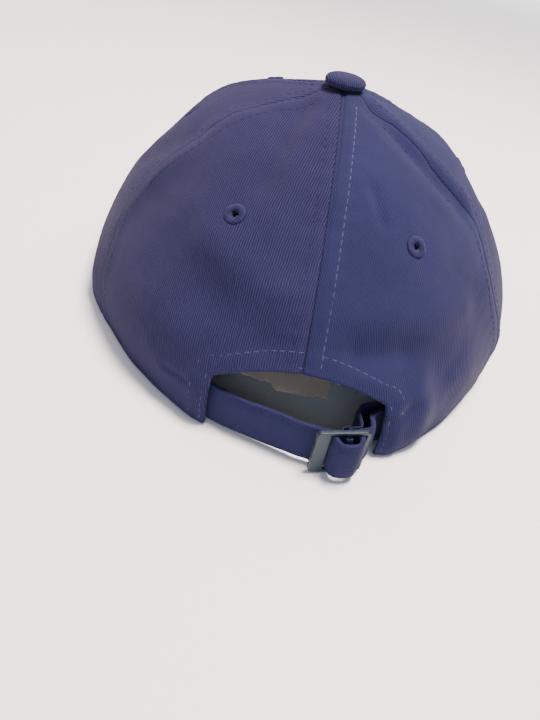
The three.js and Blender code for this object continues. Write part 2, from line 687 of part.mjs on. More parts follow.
// Tab: a loop round the buckle's middle bar, with its end inside the right tail
function strapTab() {
  const under = UNDER_BUCKLE - FIT_GAP;
  const foot = -STRAP_WALL / 2 - FIT_GAP - 0.1;
  const inside = TUCK_RIGHT - FIT_GAP * 2 - STRAP_WALL - TAB_WALL / 2 - 1.6;
  const tail = curveThrough([
    bucklePlan(BUCKLE_WINDOW_WIDTH / 2 - 1.2, foot - TAB_WALL / 2 - 0.1),
    bucklePlan(BUCKLE_WINDOW_WIDTH / 2 + 0.4, foot - TAB_WALL / 2 - 1),
    rimPlan(-ARCH_HALF_TURN + 3.6, inside + 0.8),
    rimPlan(-ARCH_HALF_TURN - 1.5, inside - 1.2),
    rimPlan(-ARCH_HALF_TURN - 6, inside - 1.6),
  ], 12);
  const band = ribbon(tail, TAB_WALL);
  const loop = [
    [LOOP_HALF * 0.9, foot - TAB_WALL],
    [-LOOP_HALF * 0.6, foot - TAB_WALL],
    [-LOOP_HALF, foot * 0.6],
    [-LOOP_HALF, LOOP_TOP - 0.7],
    [-LOOP_HALF + 0.7, LOOP_TOP],
    [LOOP_HALF - 0.7, LOOP_TOP],
    [LOOP_HALF, LOOP_TOP - 0.7],
    [LOOP_HALF, foot * 0.4],
    [LOOP_HALF * 1.25, foot],
  ].map(([s, n]) => bucklePlan(s, n));
  const hole = [
    [-BAR_HALF - FIT_GAP, under],
    [BAR_HALF + FIT_GAP, under],
    [BAR_HALF + FIT_GAP, UNDER_BUCKLE + BUCKLE_THICKNESS + FIT_GAP],
    [-BAR_HALF - FIT_GAP, UNDER_BUCKLE + BUCKLE_THICKNESS + FIT_GAP],
  ].map(([s, n]) => bucklePlan(s, n));
  return upright([...loop, ...band.reverse()], [hole], STRAP_BOTTOM, STRAP_HEIGHT);
}

// Outline of a plate with rounded corners, standing on zero height
function roundedPlate(left, width, height, radius) {
  const steps = 4;
  const corners = [
    [left + width - radius, radius, -90],
    [left + width - radius, height - radius, 0],
    [left + radius, height - radius, 90],
    [left + radius, radius, 180],
  ];
  const points = [];
  for (const [x, y, start] of corners) {
    for (let step = 0; step <= steps; step += 1) {
      const angle = (start + 90 * step / steps) * DEGREE;
      points.push(new THREE.Vector2(x + radius * Math.cos(angle), y + radius * Math.sin(angle)));
    }
  }
  return points;
}

// Slide buckle: a wide plate, two rails, an end bar and a middle bar, drawn flat then stood up
function buckle() {
  const width = BUCKLE_PLATE_WIDTH + BUCKLE_WINDOW_WIDTH + BUCKLE_END_BAR_WIDTH;
  const height = STRAP_HEIGHT + 2 * (BUCKLE_RAIL + FIT_GAP);
  const left = -BUCKLE_WINDOW_WIDTH / 2 - BUCKLE_PLATE_WIDTH;
  const outline = roundedPlate(left, width, height, BUCKLE_CORNER_RADIUS);
  const plate = upright(outline, [], 0, BUCKLE_THICKNESS);
  const windowWidth = BUCKLE_WINDOW_WIDTH / 2 - BAR_HALF;
  const windowHeight = height - 2 * BUCKLE_RAIL;
  let body = toManifold(mergeVertices(plate));
  for (const sideways of [-1, 1]) {
    const opening = new THREE.BoxGeometry(windowWidth, windowHeight, BUCKLE_THICKNESS * 3);
    opening.deleteAttribute('uv');
    opening.deleteAttribute('normal');
    opening.translate(sideways * (BAR_HALF + windowWidth / 2), height / 2, 0);
    body = body.subtract(toManifold(mergeVertices(opening)));
  }
  const geometry = fromManifold(body);
  const basis = new THREE.Matrix4().makeBasis(
    new THREE.Vector3(alongBuckle.x, alongBuckle.y, 0),
    new THREE.Vector3(0, 0, 1),
    new THREE.Vector3(outOfBuckle.x, outOfBuckle.y, 0),
  );
  const corner0 = bucklePlan(0, UNDER_BUCKLE);
  basis.setPosition(corner0.x, corner0.y, 0);
  geometry.applyMatrix4(basis);
  return geometry;
}

// Care label: a plain strip sewn behind the arch, hanging a little below its edge
function careLabel() {
  const columns = 8;
  const rows = 5;
  const outerLift = -CLOTH_WALL - FIT_GAP * 2;
  const at = (lift) => (row, column) => {
    const turn = mix(LABEL_TURN_RIGHT, LABEL_TURN_LEFT, column / columns);
    const topShareHere = shareAtHeight(turn, ARCH_TOP_HEIGHT + LABEL_TUCK);
    const endShare = shareAtHeight(turn, ARCH_TOP_HEIGHT - LABEL_DROP);
    return crown(turn, mix(topShareHere, endShare, row / rows), lift);
  };
  return sheet(rows, columns, () => true, at(outerLift), at(outerLift - LABEL_WALL));
}

const closure = branch('closure', [
  node('strap', strap(), twill),
  node('strap_tab', strapTab(), twill),
  node('buckle', buckle(), paintedMetal),
]);

const cap = branch('cap', [
  panels,
  eyelets,
  node('button', button(), twill),
  node('brim', brim(), twill),
  node('sweatband', sweatband(), bandCloth),
  closure,
  node('care_label', careLabel(), labelCloth),
]);

// Stand the cap on Z = 0, centred over the origin
const box = new THREE.Box3().setFromObject(cap);
cap.position.set(-(box.min.x + box.max.x) / 2, -(box.min.y + box.max.y) / 2, -box.min.z);

export default cap;
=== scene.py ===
"""Indigo twill baseball cap, seen from behind, built over its CAD frame."""

import math

import bmesh
import bpy
import numpy as np
from mathutils import Matrix, Vector, noise


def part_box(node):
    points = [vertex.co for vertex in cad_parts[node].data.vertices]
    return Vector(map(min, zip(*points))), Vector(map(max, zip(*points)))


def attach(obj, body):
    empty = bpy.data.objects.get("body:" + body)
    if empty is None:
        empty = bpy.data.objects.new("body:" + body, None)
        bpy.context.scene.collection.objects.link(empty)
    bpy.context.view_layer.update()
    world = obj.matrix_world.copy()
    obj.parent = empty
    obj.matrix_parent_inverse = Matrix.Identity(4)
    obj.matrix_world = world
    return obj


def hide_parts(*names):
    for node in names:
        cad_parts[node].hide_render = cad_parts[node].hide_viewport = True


bl_info = {
    "name": "Twill baseball cap",
    "version": (1, 0, 0),
    "blender": (4, 5, 0),
    "location": "View3D > Sidebar > Cap",
    "description": "Sews a six panel cap with its brim, strap and slide buckle",
    "category": "Object",
}

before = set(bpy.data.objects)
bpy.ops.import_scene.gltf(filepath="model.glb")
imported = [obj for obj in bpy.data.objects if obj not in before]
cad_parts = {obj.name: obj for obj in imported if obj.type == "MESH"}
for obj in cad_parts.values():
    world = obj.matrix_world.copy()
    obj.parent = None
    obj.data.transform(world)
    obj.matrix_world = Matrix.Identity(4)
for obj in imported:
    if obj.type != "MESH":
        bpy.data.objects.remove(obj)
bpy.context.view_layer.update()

# sizes of the crown, in millimetres and degrees
HALF_WIDTH = 86.0
BACK_REACH = 108.0
FRONT_REACH = 99.0
CROWN_HEIGHT = 88.0
BUTTON_SET_BACK = 20.0
RIM_FLARE = 0.039
RIM_FLARE_PLACE = 0.85
RIM_FLARE_SPREAD = 0.17
TOP_LEAN = 0.033
PEAK_HEIGHT = 3.0
PEAK_SPREAD = 0.12
SEAM_LAP = 1.2
FIT_GAP = 0.3
TOP_HOLE_RADIUS = 3.6
SWELL = {"side": 0.9, "back": 1.32, "front": 0.6}
FALL = {"side": 1.03, "back": 1.09, "front": 1.15}

SIDE_SEAM_LEFT = ((0, 60), (0.35, 63), (0.65, 66), (0.8, 61), (1, 60))
SIDE_SEAM_RIGHT = ((0, -60), (0.3, -57), (0.52, -62.5), (0.7, -58), (0.85, -60), (1, -58))
FRONT_SEAM_TURN = 120.0

# each table lists rows that add up to the folds of the cloth
# turn and share where a crease starts and ends, half width and height in mm
CREASES = (
    (-52, 0.1, -50, 0.2, 4.2, -2.2),
    (-50.5, 0.25, -59, 0.46, 4.2, -2.2),
    (-60, 0.17, -57.5, 0.26, 3.4, 1.1),
    (-58, 0.3, -63.5, 0.46, 3.4, 1.1),
    (43, 0.13, 34, 0.22, 5.4, -1.9),
    (32, 0.26, 27.5, 0.355, 5.4, -1.7),
    (25, 0.14, 20, 0.4, 5, 0.9),
    (34, 0.54, 8, 0.56, 7, 1.1),
    (-10, 0.58, -42, 0.64, 6.5, 1.3),
    (-12, 0.67, -23, 0.68, 6, -2.2),
    (-28.5, 0.715, -36, 0.77, 8, -1.5),
    (79, 0.6, 66, 0.42, 5, -1),
    (62, 0.57, 55, 0.25, 4, 0.8),
    (-56, 0.66, -61, 0.84, 6, 1.2),
    (64, 0.3, 64, 0.72, 4, 0.9),
    (20, 0.84, 31, 0.87, 5, 0.9),
    (-28.5, 0.74, -29, 0.94, 5, 1.4),
)
# turn, share, half size round and down, and height in mm
DENTS = (
    (46, 0.63, 24, 13, -2),
    (23, 0.645, 14, 10, -1.8),
    (10, 0.69, 8, 8, -1),
    (31, 0.77, 12, 9, 0.8),
    (-44, 0.9, 14, 16, 0.8),
    (44, 0.72, 18, 18, 1.2),
    (180, 0.34, 46, 24, -3.8),
    (-180, 0.34, 46, 24, -3.8),
    (-132, 0.34, 18, 20, -2.4),
    (-94, 0.52, 16, 14, -2.2),
    (103, 0.6, 20, 18, -2.2),
    (84, 0.82, 18, 14, -2.2),
    (69, 0.96, 8, 14, 1.4),
    (44, 1, 24, 22, -3),
    (-50, 1, 18, 14, -1.9),
    (-23, 0.95, 8, 16, 2.8),
    (21, 0.88, 10, 9, 1),
)
# small creases that only the render shows, as above
FINE_CREASES = (
    (-30, 0.735, -39, 0.85, 7, -1.1),
    (38, 0.16, 29, 0.33, 4.5, -0.6),
    (-17.5, 0.29, -20, 0.38, 1.8, -0.8),
    (24, 0.855, 30, 0.865, 1.6, -0.8),
    (-20, 0.83, -27, 0.785, 2.2, 0.8),
    (-21, 0.86, -26, 0.82, 2.0, -0.6),
)

ARCH_HALF_TURN = 18.8
ARCH_SIDE_HEIGHT = 20.0
ARCH_TOP_HEIGHT = 27.6
# the back of the crown leans, so its cloth is longer than it is high
LEAN_LENGTH = 1.12
EYELET_TURNS = {"back": 30.0, "side": 91.0, "front": 150.0}
EYELET_SHARE = 0.45
EYELET_WRAPS = 36
EYELET_RISE = 0.45
EYELET_BACK_RISE = 0.7
BUTTON_GATHERS = 17

BRIM_REACH = 70.0
BRIM_FRONT_LIFT = 8.0
BRIM_FRONT_RISE = 12.0
BRIM_HALF_TURN = 68.0
BRIM_MARGIN_TURN = 5.0
BRIM_RAMP_TURN = 16.0
BRIM_CORNER_SET_BACK = 13.0
BRIM_CORNER_ANGLE = 80.0
BRIM_THICKNESS = 3.4
# below 1 these fill out the corners of the brim's outline
BRIM_SIDE_POWER = 0.8
BRIM_FRONT_POWER = 0.75

BAND_HEIGHT = 30.0
BAND_WALL = 1.2
BAND_CLEARANCE = 0.5
BAND_END_MARGIN_TURN = 11.0

STRAP_HEIGHT = 14.4
STRAP_DROOP = 1.2
TAB_WALL = 1.4
BUCKLE_THICKNESS = 1.7
BUCKLE_RAIL = 1.2
BUCKLE_PLATE_WIDTH = 4.6
BUCKLE_END_BAR_WIDTH = 1.3
BUCKLE_WINDOW_WIDTH = 11.4
BUCKLE_MIDDLE_BAR_WIDTH = 1.5
BUCKLE_CORNER = 1.4
BUCKLE_EDGE = 0.35
BUCKLE_TURN = -10.0
BUCKLE_STAND_OFF = 4.8
BUCKLE_YAW = 4.0

LABEL_TURN_LEFT = 13.6
LABEL_TURN_RIGHT = -6.5
LABEL_DROP = 6.6
LABEL_TUCK = 9.0
LABEL_WALL = 0.6

button_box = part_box("button")
button_low, button_high = Vector(button_box[0]), Vector(button_box[1])
BUTTON_MIDDLE = (button_low + button_high) / 2 * 1000
SHIFT = np.array([BUTTON_MIDDLE.x, BUTTON_MIDDLE.y - BUTTON_SET_BACK, 0.0])


def mix(start, end, part):
    """Straight blend from start to end."""
    return start + (end - start) * part


def smooth(part):
    """Blend from 0 to 1 that eases in and out."""
    return part * part * (3 - 2 * part)


def ridge(distance, place, half_width):
    """1 along a line and fading to both sides of it."""
    return np.exp(-(((distance - place) / half_width) ** 2))


def quarter(table, turn):
    """A value of the back, front or side, blended round the crown."""
    side = np.sin(np.radians(turn)) ** 2
    rest = np.where(np.cos(np.radians(turn)) > 0, table["back"], table["front"])
    return table["side"] * side + rest * (1 - side)


def rim_height(turn):
    """Height of the rim over the floor: it lifts at the front and over the brim."""
    from_front = np.abs(180 - np.abs(turn))
    end = BRIM_HALF_TURN + BRIM_MARGIN_TURN + BRIM_RAMP_TURN
    part = smooth(np.clip((end - from_front) / BRIM_RAMP_TURN, 0, 1))
    rise = BRIM_FRONT_LIFT * np.cos(np.radians(np.clip(from_front, 0, 90))) ** 2
    return rise + part * (BRIM_THICKNESS + FIT_GAP)


def plain_crown(turn, share):
    """Smooth crown in mm; share runs from 0 at the button to 1 at the rim."""
    turn, share = np.broadcast_arrays(np.asarray(turn, float), np.asarray(share, float))
    s, c = np.sin(np.radians(turn)), np.cos(np.radians(turn))
    reach = np.where(c > 0, BACK_REACH, FRONT_REACH)
    swell = quarter(SWELL, turn)
    along = np.maximum(share, 0) ** (1 / swell)
    flare = RIM_FLARE * ridge(along, RIM_FLARE_PLACE, RIM_FLARE_SPREAD)
    out = np.sin(np.minimum(along, 1) * np.pi / 2) ** swell * (1 + flare)
    fall = np.maximum(np.cos(np.minimum(along, 1) * np.pi / 2), 0) ** quarter(FALL, turn)
    x = HALF_WIDTH * s * out
    y = BUTTON_SET_BACK * (1 - out) + reach * c * out
    rim = rim_height(turn)
    z = rim + (CROWN_HEIGHT - rim) * fall + TOP_LEAN * (y - BUTTON_SET_BACK) * fall
    z = z + PEAK_HEIGHT * ridge(share, 0, PEAK_SPREAD)
    return np.stack([x, y, z], -1)


def unit(vectors):
    """Each vector at length 1."""
    return vectors / np.maximum(np.linalg.norm(vectors, axis=-1, keepdims=True), 1e-9)


def plain_normal(turn, share):
    """Outward direction of the smooth crown."""
    turn, share = np.broadcast_arrays(np.asarray(turn, float), np.asarray(share, float))
    low = np.clip(share - 0.004, 0.004, 0.996)
    around = plain_crown(turn + 0.5, share) - plain_crown(turn - 0.5, share)
    down = plain_crown(turn, low + 0.004) - plain_crown(turn, low)
    return unit(np.cross(around, down))


# length of the cloth from the button down to the rim, a little under the sum of both sides
DOWN_LENGTH = (CROWN_HEIGHT + HALF_WIDTH) * 0.83


def degree_length(share):
    """Rough millimetres in one degree round the crown, the same on all sides."""
    return HALF_WIDTH * np.radians(1) * np.sin(np.clip(share, 0.02, 1) * np.pi / 2)


def crease_height(turn, share, table):
    """Soft ridges and valleys along straight lines of the cloth."""
    wide = degree_length(share)
    height = np.zeros(np.shape(turn))
    for turn_from, share_from, turn_to, share_to, half_width, rise in table:
        ax, ay = turn_from * wide, share_from * DOWN_LENGTH
        bx, by = turn_to * wide, share_to * DOWN_LENGTH
        px, py = turn * wide - ax, share * DOWN_LENGTH - ay
        length = (bx - ax) ** 2 + (by - ay) ** 2
        part = np.clip((px * (bx - ax) + py * (by - ay)) / length, 0, 1)
        away = (px - part * (bx - ax)) ** 2 + (py - part * (by - ay)) ** 2
        height = height + rise * np.exp(-away / half_width ** 2)
    return height


def fold_height(turn, share):
    """Creases, dents and swells that the CAD solids have too."""
    height = crease_height(turn, share, CREASES)
    wide = degree_length(share)
    for dent_turn, dent_share, half_turn, half_down, rise in DENTS:
        across = (turn - dent_turn) * wide / half_turn
        down = (share - dent_share) * DOWN_LENGTH / half_down
        height = height + rise * np.exp(-(across ** 2) - down ** 2)
    return height


def share_at_height(turn, height):
    """Where the smooth crown comes down to a height, found by halving."""
    turn, height = np.broadcast_arrays(np.asarray(turn, float), np.asarray(height, float))
    low, high = np.full(turn.shape, 0.3), np.full(turn.shape, 1.0)
    for _ in range(26):
        middle = (low + high) / 2
        above = plain_crown(turn, middle)[..., 2] > height
        low, high = np.where(above, middle, low), np.where(above, high, middle)
    return (low + high) / 2


def seam_turn(seam, share):
    """Turn of a seam, from one number or from a table of shares and turns."""
    if isinstance(seam, (int, float)):
        return np.full(np.shape(share), float(seam))
    shares = np.array([row[0] for row in seam], float)
    turns = np.array([row[1] for row in seam], float)
    index = np.clip(np.searchsorted(shares, share, side="left"), 1, len(shares) - 1)
    part = (share - shares[index - 1]) / (shares[index] - shares[index - 1])
    return mix(turns[index - 1], turns[index], smooth(np.clip(part, 0, 1)))


SEAMS = (0.0, SIDE_SEAM_LEFT, FRONT_SEAM_TURN, 180.0, -FRONT_SEAM_TURN, SIDE_SEAM_RIGHT)
# the side seams lie flatter than the others
SEAM_SHARPNESS = (1.0, 0.45, 1.0, 1.0, 1.0, 0.3)


def turn_length(turn, share):
    """Millimetres in one degree round the crown, at each place."""
    gap = plain_crown(turn + 0.5, share) - plain_crown(turn - 0.5, share)
    return np.linalg.norm(gap, axis=-1)


def ripple(points, size, seed):
    """Smooth noise with waves of a size in mm."""
    return np.array([noise.noise(Vector(p) / size + Vector((seed, seed, seed))) for p in points])


def step_band(distance, near, far, blur):
    """1 between two distances, with soft ends."""
    rise = 1 / (1 + np.exp(-(distance - near) / blur))
    return rise * (1 / (1 + np.exp((distance - far) / blur)))


def arch_distance(turn, share):
    """Millimetres from the edge of the strap opening."""
    reach = np.abs(turn)
    wide = turn_length(turn, share)
    spread = np.minimum(1, reach / ARCH_HALF_TURN)
    hem = mix(ARCH_TOP_HEIGHT, ARCH_SIDE_HEIGHT, spread ** 2)
    over = np.maximum(plain_crown(turn, share)[..., 2] - hem, 0) * LEAN_LENGTH
    beside = np.maximum(reach - ARCH_HALF_TURN, 0) * wide
    return np.hypot(over, beside)


# relief in mm: rows of stitches lie in shallow grooves, turned cloth stands a ply higher
SEAM_ROW = 4.7
HEM_ROWS = (1.9, 6.4)
RIM_ROW = 2.8
ROW_HALF_WIDTH = 0.6
PLY_BLUR = 0.3
SEAM_GROOVE = 0.5
SEAM_PLY = 0.42
SEAM_ROW_DEPTH = 0.3
PUCKER_PITCH = 6.4
PUCKER_HEIGHT = 0.1
HEM_PLY = 0.5
HEM_ROW_DEPTH = 0.32
HEM_WAVE = 0.2
RIM_PLY = 0.35
RIM_HEM = 3.6
RIM_ROW_DEPTH = 0.25
# height of the soft waves and the size of each, with a seed for its noise
RIPPLES = ((0.9, 34, 3.1), (0.42, 13, 8.7), (0.14, 5, 5.3))


def sewn_height(turn, share):
    """Relief of seams, hems, puckers and the soft waves of washed cloth."""
    wide = turn_length(turn, share)
    base = plain_crown(turn, share)
    down = share * DOWN_LENGTH
    height = crease_height(turn, share, FINE_CREASES)
    for number, seam in enumerate(SEAMS):
        away = ((turn - seam_turn(seam, share) + 180) % 360 - 180) * wide
        near = np.abs(away)
        sharp = SEAM_SHARPNESS[number]
        height = height - SEAM_GROOVE * sharp * ridge(near, 0, ROW_HALF_WIDTH)
        flat = step_band(near, -1, SEAM_ROW + 0.8, PLY_BLUR)
        row = ridge(near, SEAM_ROW, ROW_HALF_WIDTH)
        height = height + sharp * (SEAM_PLY * flat - SEAM_ROW_DEPTH * row)
        phase = down / PUCKER_PITCH * 2 * np.pi + number * 1.7 + 0.8 * np.sin(down / 17 + number)
        height = height + PUCKER_HEIGHT * np.sin(phase) * ridge(near, 5.5, 4.5)
    hem = arch_distance(turn, share)
    relief = HEM_PLY * step_band(hem, -2, HEM_ROWS[1] + 1, PLY_BLUR)
    for distance in HEM_ROWS:
        relief = relief - HEM_ROW_DEPTH * ridge(hem, distance, ROW_HALF_WIDTH)
    wave = HEM_WAVE * np.sin(base[..., 0] / 5.2 * 2 + 0.6 * np.sin(base[..., 2] / 6))
    relief = relief + wave * ridge(hem, 9, 4.5)
    height = height + np.where(np.cos(np.radians(turn)) > 0, relief, 0)
    rim = (1 - share) * DOWN_LENGTH
    height = height + RIM_PLY * step_band(rim, -4, RIM_HEM, PLY_BLUR)
    height = height - RIM_ROW_DEPTH * ridge(rim, RIM_ROW, ROW_HALF_WIDTH)
    flat_points = base.reshape(-1, 3)
    soft = sum(rise * ripple(flat_points, size, seed) for rise, size, seed in RIPPLES)
    return height + soft.reshape(height.shape)


def cloth_point(turn, share, lift):
    """Finished cloth in mm, raised from the smooth crown by its folds and relief."""
    turn, share = np.broadcast_arrays(np.asarray(turn, float), np.asarray(share, float))
    out = lift + fold_height(turn, share) + sewn_height(turn, share)
    points = plain_crown(turn, share) + plain_normal(turn, share) * out[..., None]
    points[..., 2] = np.where(share >= 0.9999, rim_height(turn), points[..., 2])
    return points + SHIFT


# making meshes
def settings():
    """Sizes from the sidebar."""
    return bpy.context.scene.cap_sizes


def colours():
    """Colours from the sidebar."""
    return bpy.context.scene.cap_colours


def mm(value):
    """Metres to millimetres."""
    return value * 1000


def grid_bmesh(columns, rows):
    """A grid with its column and row numbers as two arrays in vertex order."""
    bm = bmesh.new()
    bmesh.ops.create_grid(bm, x_segments=columns, y_segments=rows, size=1)
    flat = np.array([vertex.co[:2] for vertex in bm.verts])
    column = np.rint((flat[:, 0] + 1) / 2 * columns).astype(int)
    row = np.rint((flat[:, 1] + 1) / 2 * rows).astype(int)
    return bm, column, row


def place_vertices(bm, points):
    """Moves the vertices to points in mm, in their order."""
    for vertex, point in zip(bm.verts, points / 1000):
        vertex.co = point


def cloth_uv(bm, flat):
    """UV map in metres of cloth, so a weave keeps its size."""
    layer = bm.loops.layers.uv.new("cloth")
    for face in bm.faces:
        for loop in face.loops:
            loop[layer].uv = flat[loop.vert.index]


def finish_piece(name, bm, material, replaces):
    """Makes the object, fixes it to the body and hides the CAD parts it stands for."""
    mesh = bpy.data.meshes.new(name)
    for face in bm.faces:
        face.smooth = True
    bm.to_mesh(mesh)
    bm.free()
    mesh.materials.append(material)
    piece = bpy.data.objects.new(name, mesh)
    bpy.context.scene.collection.objects.link(piece)
    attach(piece, "root")
    if replaces:
        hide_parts(*replaces)
    return piece


def thicken(piece, thickness, offset):
    """Gives a sheet its wall in metres; offset -1 is inward, 0 to both sides."""
    wall = piece.modifiers.new("wall", "SOLIDIFY")
    wall.thickness = thickness
    wall.offset = offset
    wall.use_even_offset = True


def soften(piece):
    """Rounds a piece by one subdivision."""
    soft = piece.modifiers.new("soft", "SUBSURF")
    soft.levels = 1
    soft.render_levels = 1


STITCHES_IN_A_BATCH = 40
STITCH_SINK = 0.02


def one_stitch(bm, ends, up, radius, length):
    """One rounded stitch between two points in mm."""
    along = Vector(ends[1] - ends[0]).normalized()
    side = along.cross(Vector(up)).normalized()
    turn = Matrix((side, side.cross(along), along)).transposed().to_4x4()
    size = Matrix.Diagonal((radius / 1000, radius * 0.0008, length / 2000, 1))
    middle = Matrix.Translation(Vector((ends[0] + ends[1]) / 2) / 1000)
    bmesh.ops.create_uvsphere(bm, u_segments=6, v_segments=5, radius=1, matrix=middle @ turn @ size)


def stitch_row(bm, points, normals, spacing=1.0):
    """Sews small rounded stitches along a line of points in mm.

    They are made in batches, because a mesh grows slower the larger it is.
    """
    sizes = settings()
    pitch = mm(sizes.stitch_pitch) * spacing
    length, radius = mm(sizes.stitch_length), mm(sizes.thread_radius)
    gaps = np.linalg.norm(np.diff(points, axis=0), axis=1)
    travel = np.concatenate([[0], np.cumsum(gaps)])
    count = max(1, int(travel[-1] / pitch))
    centre = (travel[-1] - count * pitch) / 2 + pitch * (np.arange(count) + 0.5)
    before, middle, after = (
        np.stack([np.interp(centre + shift, travel, line[:, axis]) for axis in range(3)], -1)
        for shift, line in ((-length / 2, points), (0, normals), (length / 2, points))
    )
    for first in range(0, count, STITCHES_IN_A_BATCH):
        batch = bmesh.new()
        for number in range(first, min(first + STITCHES_IN_A_BATCH, count)):
            one_stitch(batch, (before[number], after[number]), middle[number], radius, length)
        mesh = bpy.data.meshes.new("batch")
        batch.to_mesh(mesh)
        batch.free()
        bm.from_mesh(mesh)
        bpy.data.meshes.remove(mesh)


def sew_row(bm, turn, share):
    """A row of stitches on the crown, sunk a little into the cloth."""
    stitch_row(bm, cloth_point(turn, share, -STITCH_SINK), plain_normal(turn, share))


# materials
def linear(hex_colour):
    """sRGB hex to the linear colour that a shader socket takes."""
    values = [int(hex_colour[index:index + 2], 16) / 255 for index in (1, 3, 5)]
    return [v / 12.92 if v <= 0.04045 else ((v + 0.055) / 1.055) ** 2.4 for v in values] + [1.0]


def add_node(tree, kind, settings_=None, inputs=None, links=None):
    """Adds a node, sets its properties and sockets and links its inputs."""
    node = tree.nodes.new(kind)
    for key, value in (settings_ or {}).items():
        setattr(node, key, value)
    for key, value in (inputs or {}).items():
        node.inputs[key].default_value = value
    for key, source in (links or {}).items():
        tree.links.new(source, node.inputs[key])
    return node


def new_material(name, base, roughness, metallic=0.0, sheen=0.0):
    """A material, its node tree and its shader, with the plain values set."""
    material = bpy.data.materials.new(name)
    material.use_nodes = True
    tree = material.node_tree
    shader = tree.nodes["Principled BSDF"]
    shader.inputs["Base Color"].default_value = base
    shader.inputs["Roughness"].default_value = roughness
    shader.inputs["Metallic"].default_value = metallic
    shader.inputs["Sheen Weight"].default_value = sheen
    shader.inputs["Sheen Roughness"].default_value = 0.45
    shader.inputs["Specular IOR Level"].default_value = 0.5 if metallic else 0.12
    material.diffuse_color = base
    return material, tree, shader


# the wales of such twill are about half a millimetre apart, drawn coarser so that they show
TWILL_WALE_MM = 0.72
WEFT_MM = 0.6
BAND_RIB_MM = 0.7
TAPE_THREAD_MM = 0.5


def woven(name, base, wale_mm, weft_mm, lean_degrees, depth_mm, contrast, sheen):
    """Woven cotton: diagonal wales over fine crossing threads, faded a little in patches."""
    material, tree, shader = new_material(name, linear(base), 0.92, 0.0, sheen)
    coordinates = add_node(tree, "ShaderNodeTexCoord")
    wobble = add_node(
        tree, "ShaderNodeTexNoise", inputs={"Scale": 160.0, "Detail": 2.0},
        links={"Vector": coordinates.outputs["UV"]},
    )
    wobble_move = add_node(
        tree, "ShaderNodeVectorMath", {"operation": "SCALE"}, {"Scale": 0.0009},
        {0: wobble.outputs["Color"]},
    )
    moved = add_node(
        tree, "ShaderNodeVectorMath", {"operation": "ADD"},
        links={0: coordinates.outputs["UV"], 1: wobble_move.outputs[0]},
    )
    turned = add_node(
        tree, "ShaderNodeMapping", inputs={"Rotation": (0, 0, math.radians(lean_degrees))},
        links={"Vector": moved.outputs[0]},
    )
    split = add_node(tree, "ShaderNodeSeparateXYZ", links={0: turned.outputs[0]})
    wale_phase = add_node(
        tree, "ShaderNodeMath", {"operation": "MULTIPLY"}, {1: 2000 * math.pi / wale_mm},
        {0: split.outputs["X"]},
    )
    wale = add_node(tree, "ShaderNodeMath", {"operation": "SINE"}, links={0: wale_phase.outputs[0]})
    weft_phase = add_node(
        tree, "ShaderNodeMath", {"operation": "MULTIPLY"}, {1: 2000 * math.pi / weft_mm},
        {0: split.outputs["Y"]},
    )
    weft = add_node(tree, "ShaderNodeMath", {"operation": "SINE"}, links={0: weft_phase.outputs[0]})
    weave = add_node(
        tree, "ShaderNodeMath", {"operation": "MULTIPLY_ADD"}, {1: 0.3},
        {0: weft.outputs[0], 2: wale.outputs[0]},
    )
    fuzz = add_node(
        tree, "ShaderNodeTexNoise", inputs={"Scale": 1500.0, "Detail": 3.0, "Roughness": 0.6},
        links={"Vector": coordinates.outputs["UV"]},
    )
    surface = add_node(
        tree, "ShaderNodeMath", {"operation": "MULTIPLY_ADD"}, {1: 0.9},
        {0: fuzz.outputs["Fac"], 2: weave.outputs[0]},
    )
    bump = add_node(
        tree, "ShaderNodeBump", inputs={"Strength": 1.0, "Distance": depth_mm / 1000},
        links={"Height": surface.outputs[0]},
    )
    tree.links.new(bump.outputs["Normal"], shader.inputs["Normal"])
    fading = add_node(
        tree, "ShaderNodeTexNoise", inputs={"Scale": 38.0, "Detail": 4.0, "Roughness": 0.55},
        links={"Vector": coordinates.outputs["Object"]},
    )
    shade = add_node(
        tree, "ShaderNodeMapRange",
        inputs={"From Min": -1.2, "From Max": 2.1, "To Min": 1 - contrast, "To Max": 1 + contrast},
        links={"Value": surface.outputs[0]},
    )
    patch = add_node(
        tree, "ShaderNodeMapRange",
        inputs={"From Min": 0.3, "From Max": 0.7, "To Min": 0.9, "To Max": 1.1},
        links={"Value": fading.outputs["Fac"]},
    )
    tone = add_node(
        tree, "ShaderNodeMath", {"operation": "MULTIPLY"},
        links={0: shade.outputs[0], 1: patch.outputs[0]},
    )
    dyed = add_node(
        tree, "ShaderNodeVectorMath", {"operation": "SCALE"}, {0: linear(base)[:3]},
        {"Scale": tone.outputs[0]},
    )
    tree.links.new(dyed.outputs[0], shader.inputs["Base Color"])
    return material


def thread_material(name, base, sheen):
    """Spun cotton thread: soft, with short light and dark flecks."""
    material, tree, shader = new_material(name, linear(base), 0.8, 0.0, sheen)
    coordinates = add_node(tree, "ShaderNodeTexCoord")
    flecks = add_node(
        tree, "ShaderNodeTexNoise", inputs={"Scale": 900.0, "Detail": 2.0},
        links={"Vector": coordinates.outputs["Object"]},
    )
    tone = add_node(
        tree, "ShaderNodeMapRange",
        inputs={"From Min": 0.3, "From Max": 0.7, "To Min": 0.75, "To Max": 1.2},
        links={"Value": flecks.outputs["Fac"]},
    )
    dyed = add_node(
        tree, "ShaderNodeVectorMath", {"operation": "SCALE"}, {0: linear(base)[:3]},
        {"Scale": tone.outputs[0]},
    )
    bump = add_node(
        tree, "ShaderNodeBump", inputs={"Strength": 0.6, "Distance": 0.00008},
        links={"Height": flecks.outputs["Fac"]},
    )
    tree.links.new(dyed.outputs[0], shader.inputs["Base Color"])
    tree.links.new(bump.outputs["Normal"], shader.inputs["Normal"])
    return material


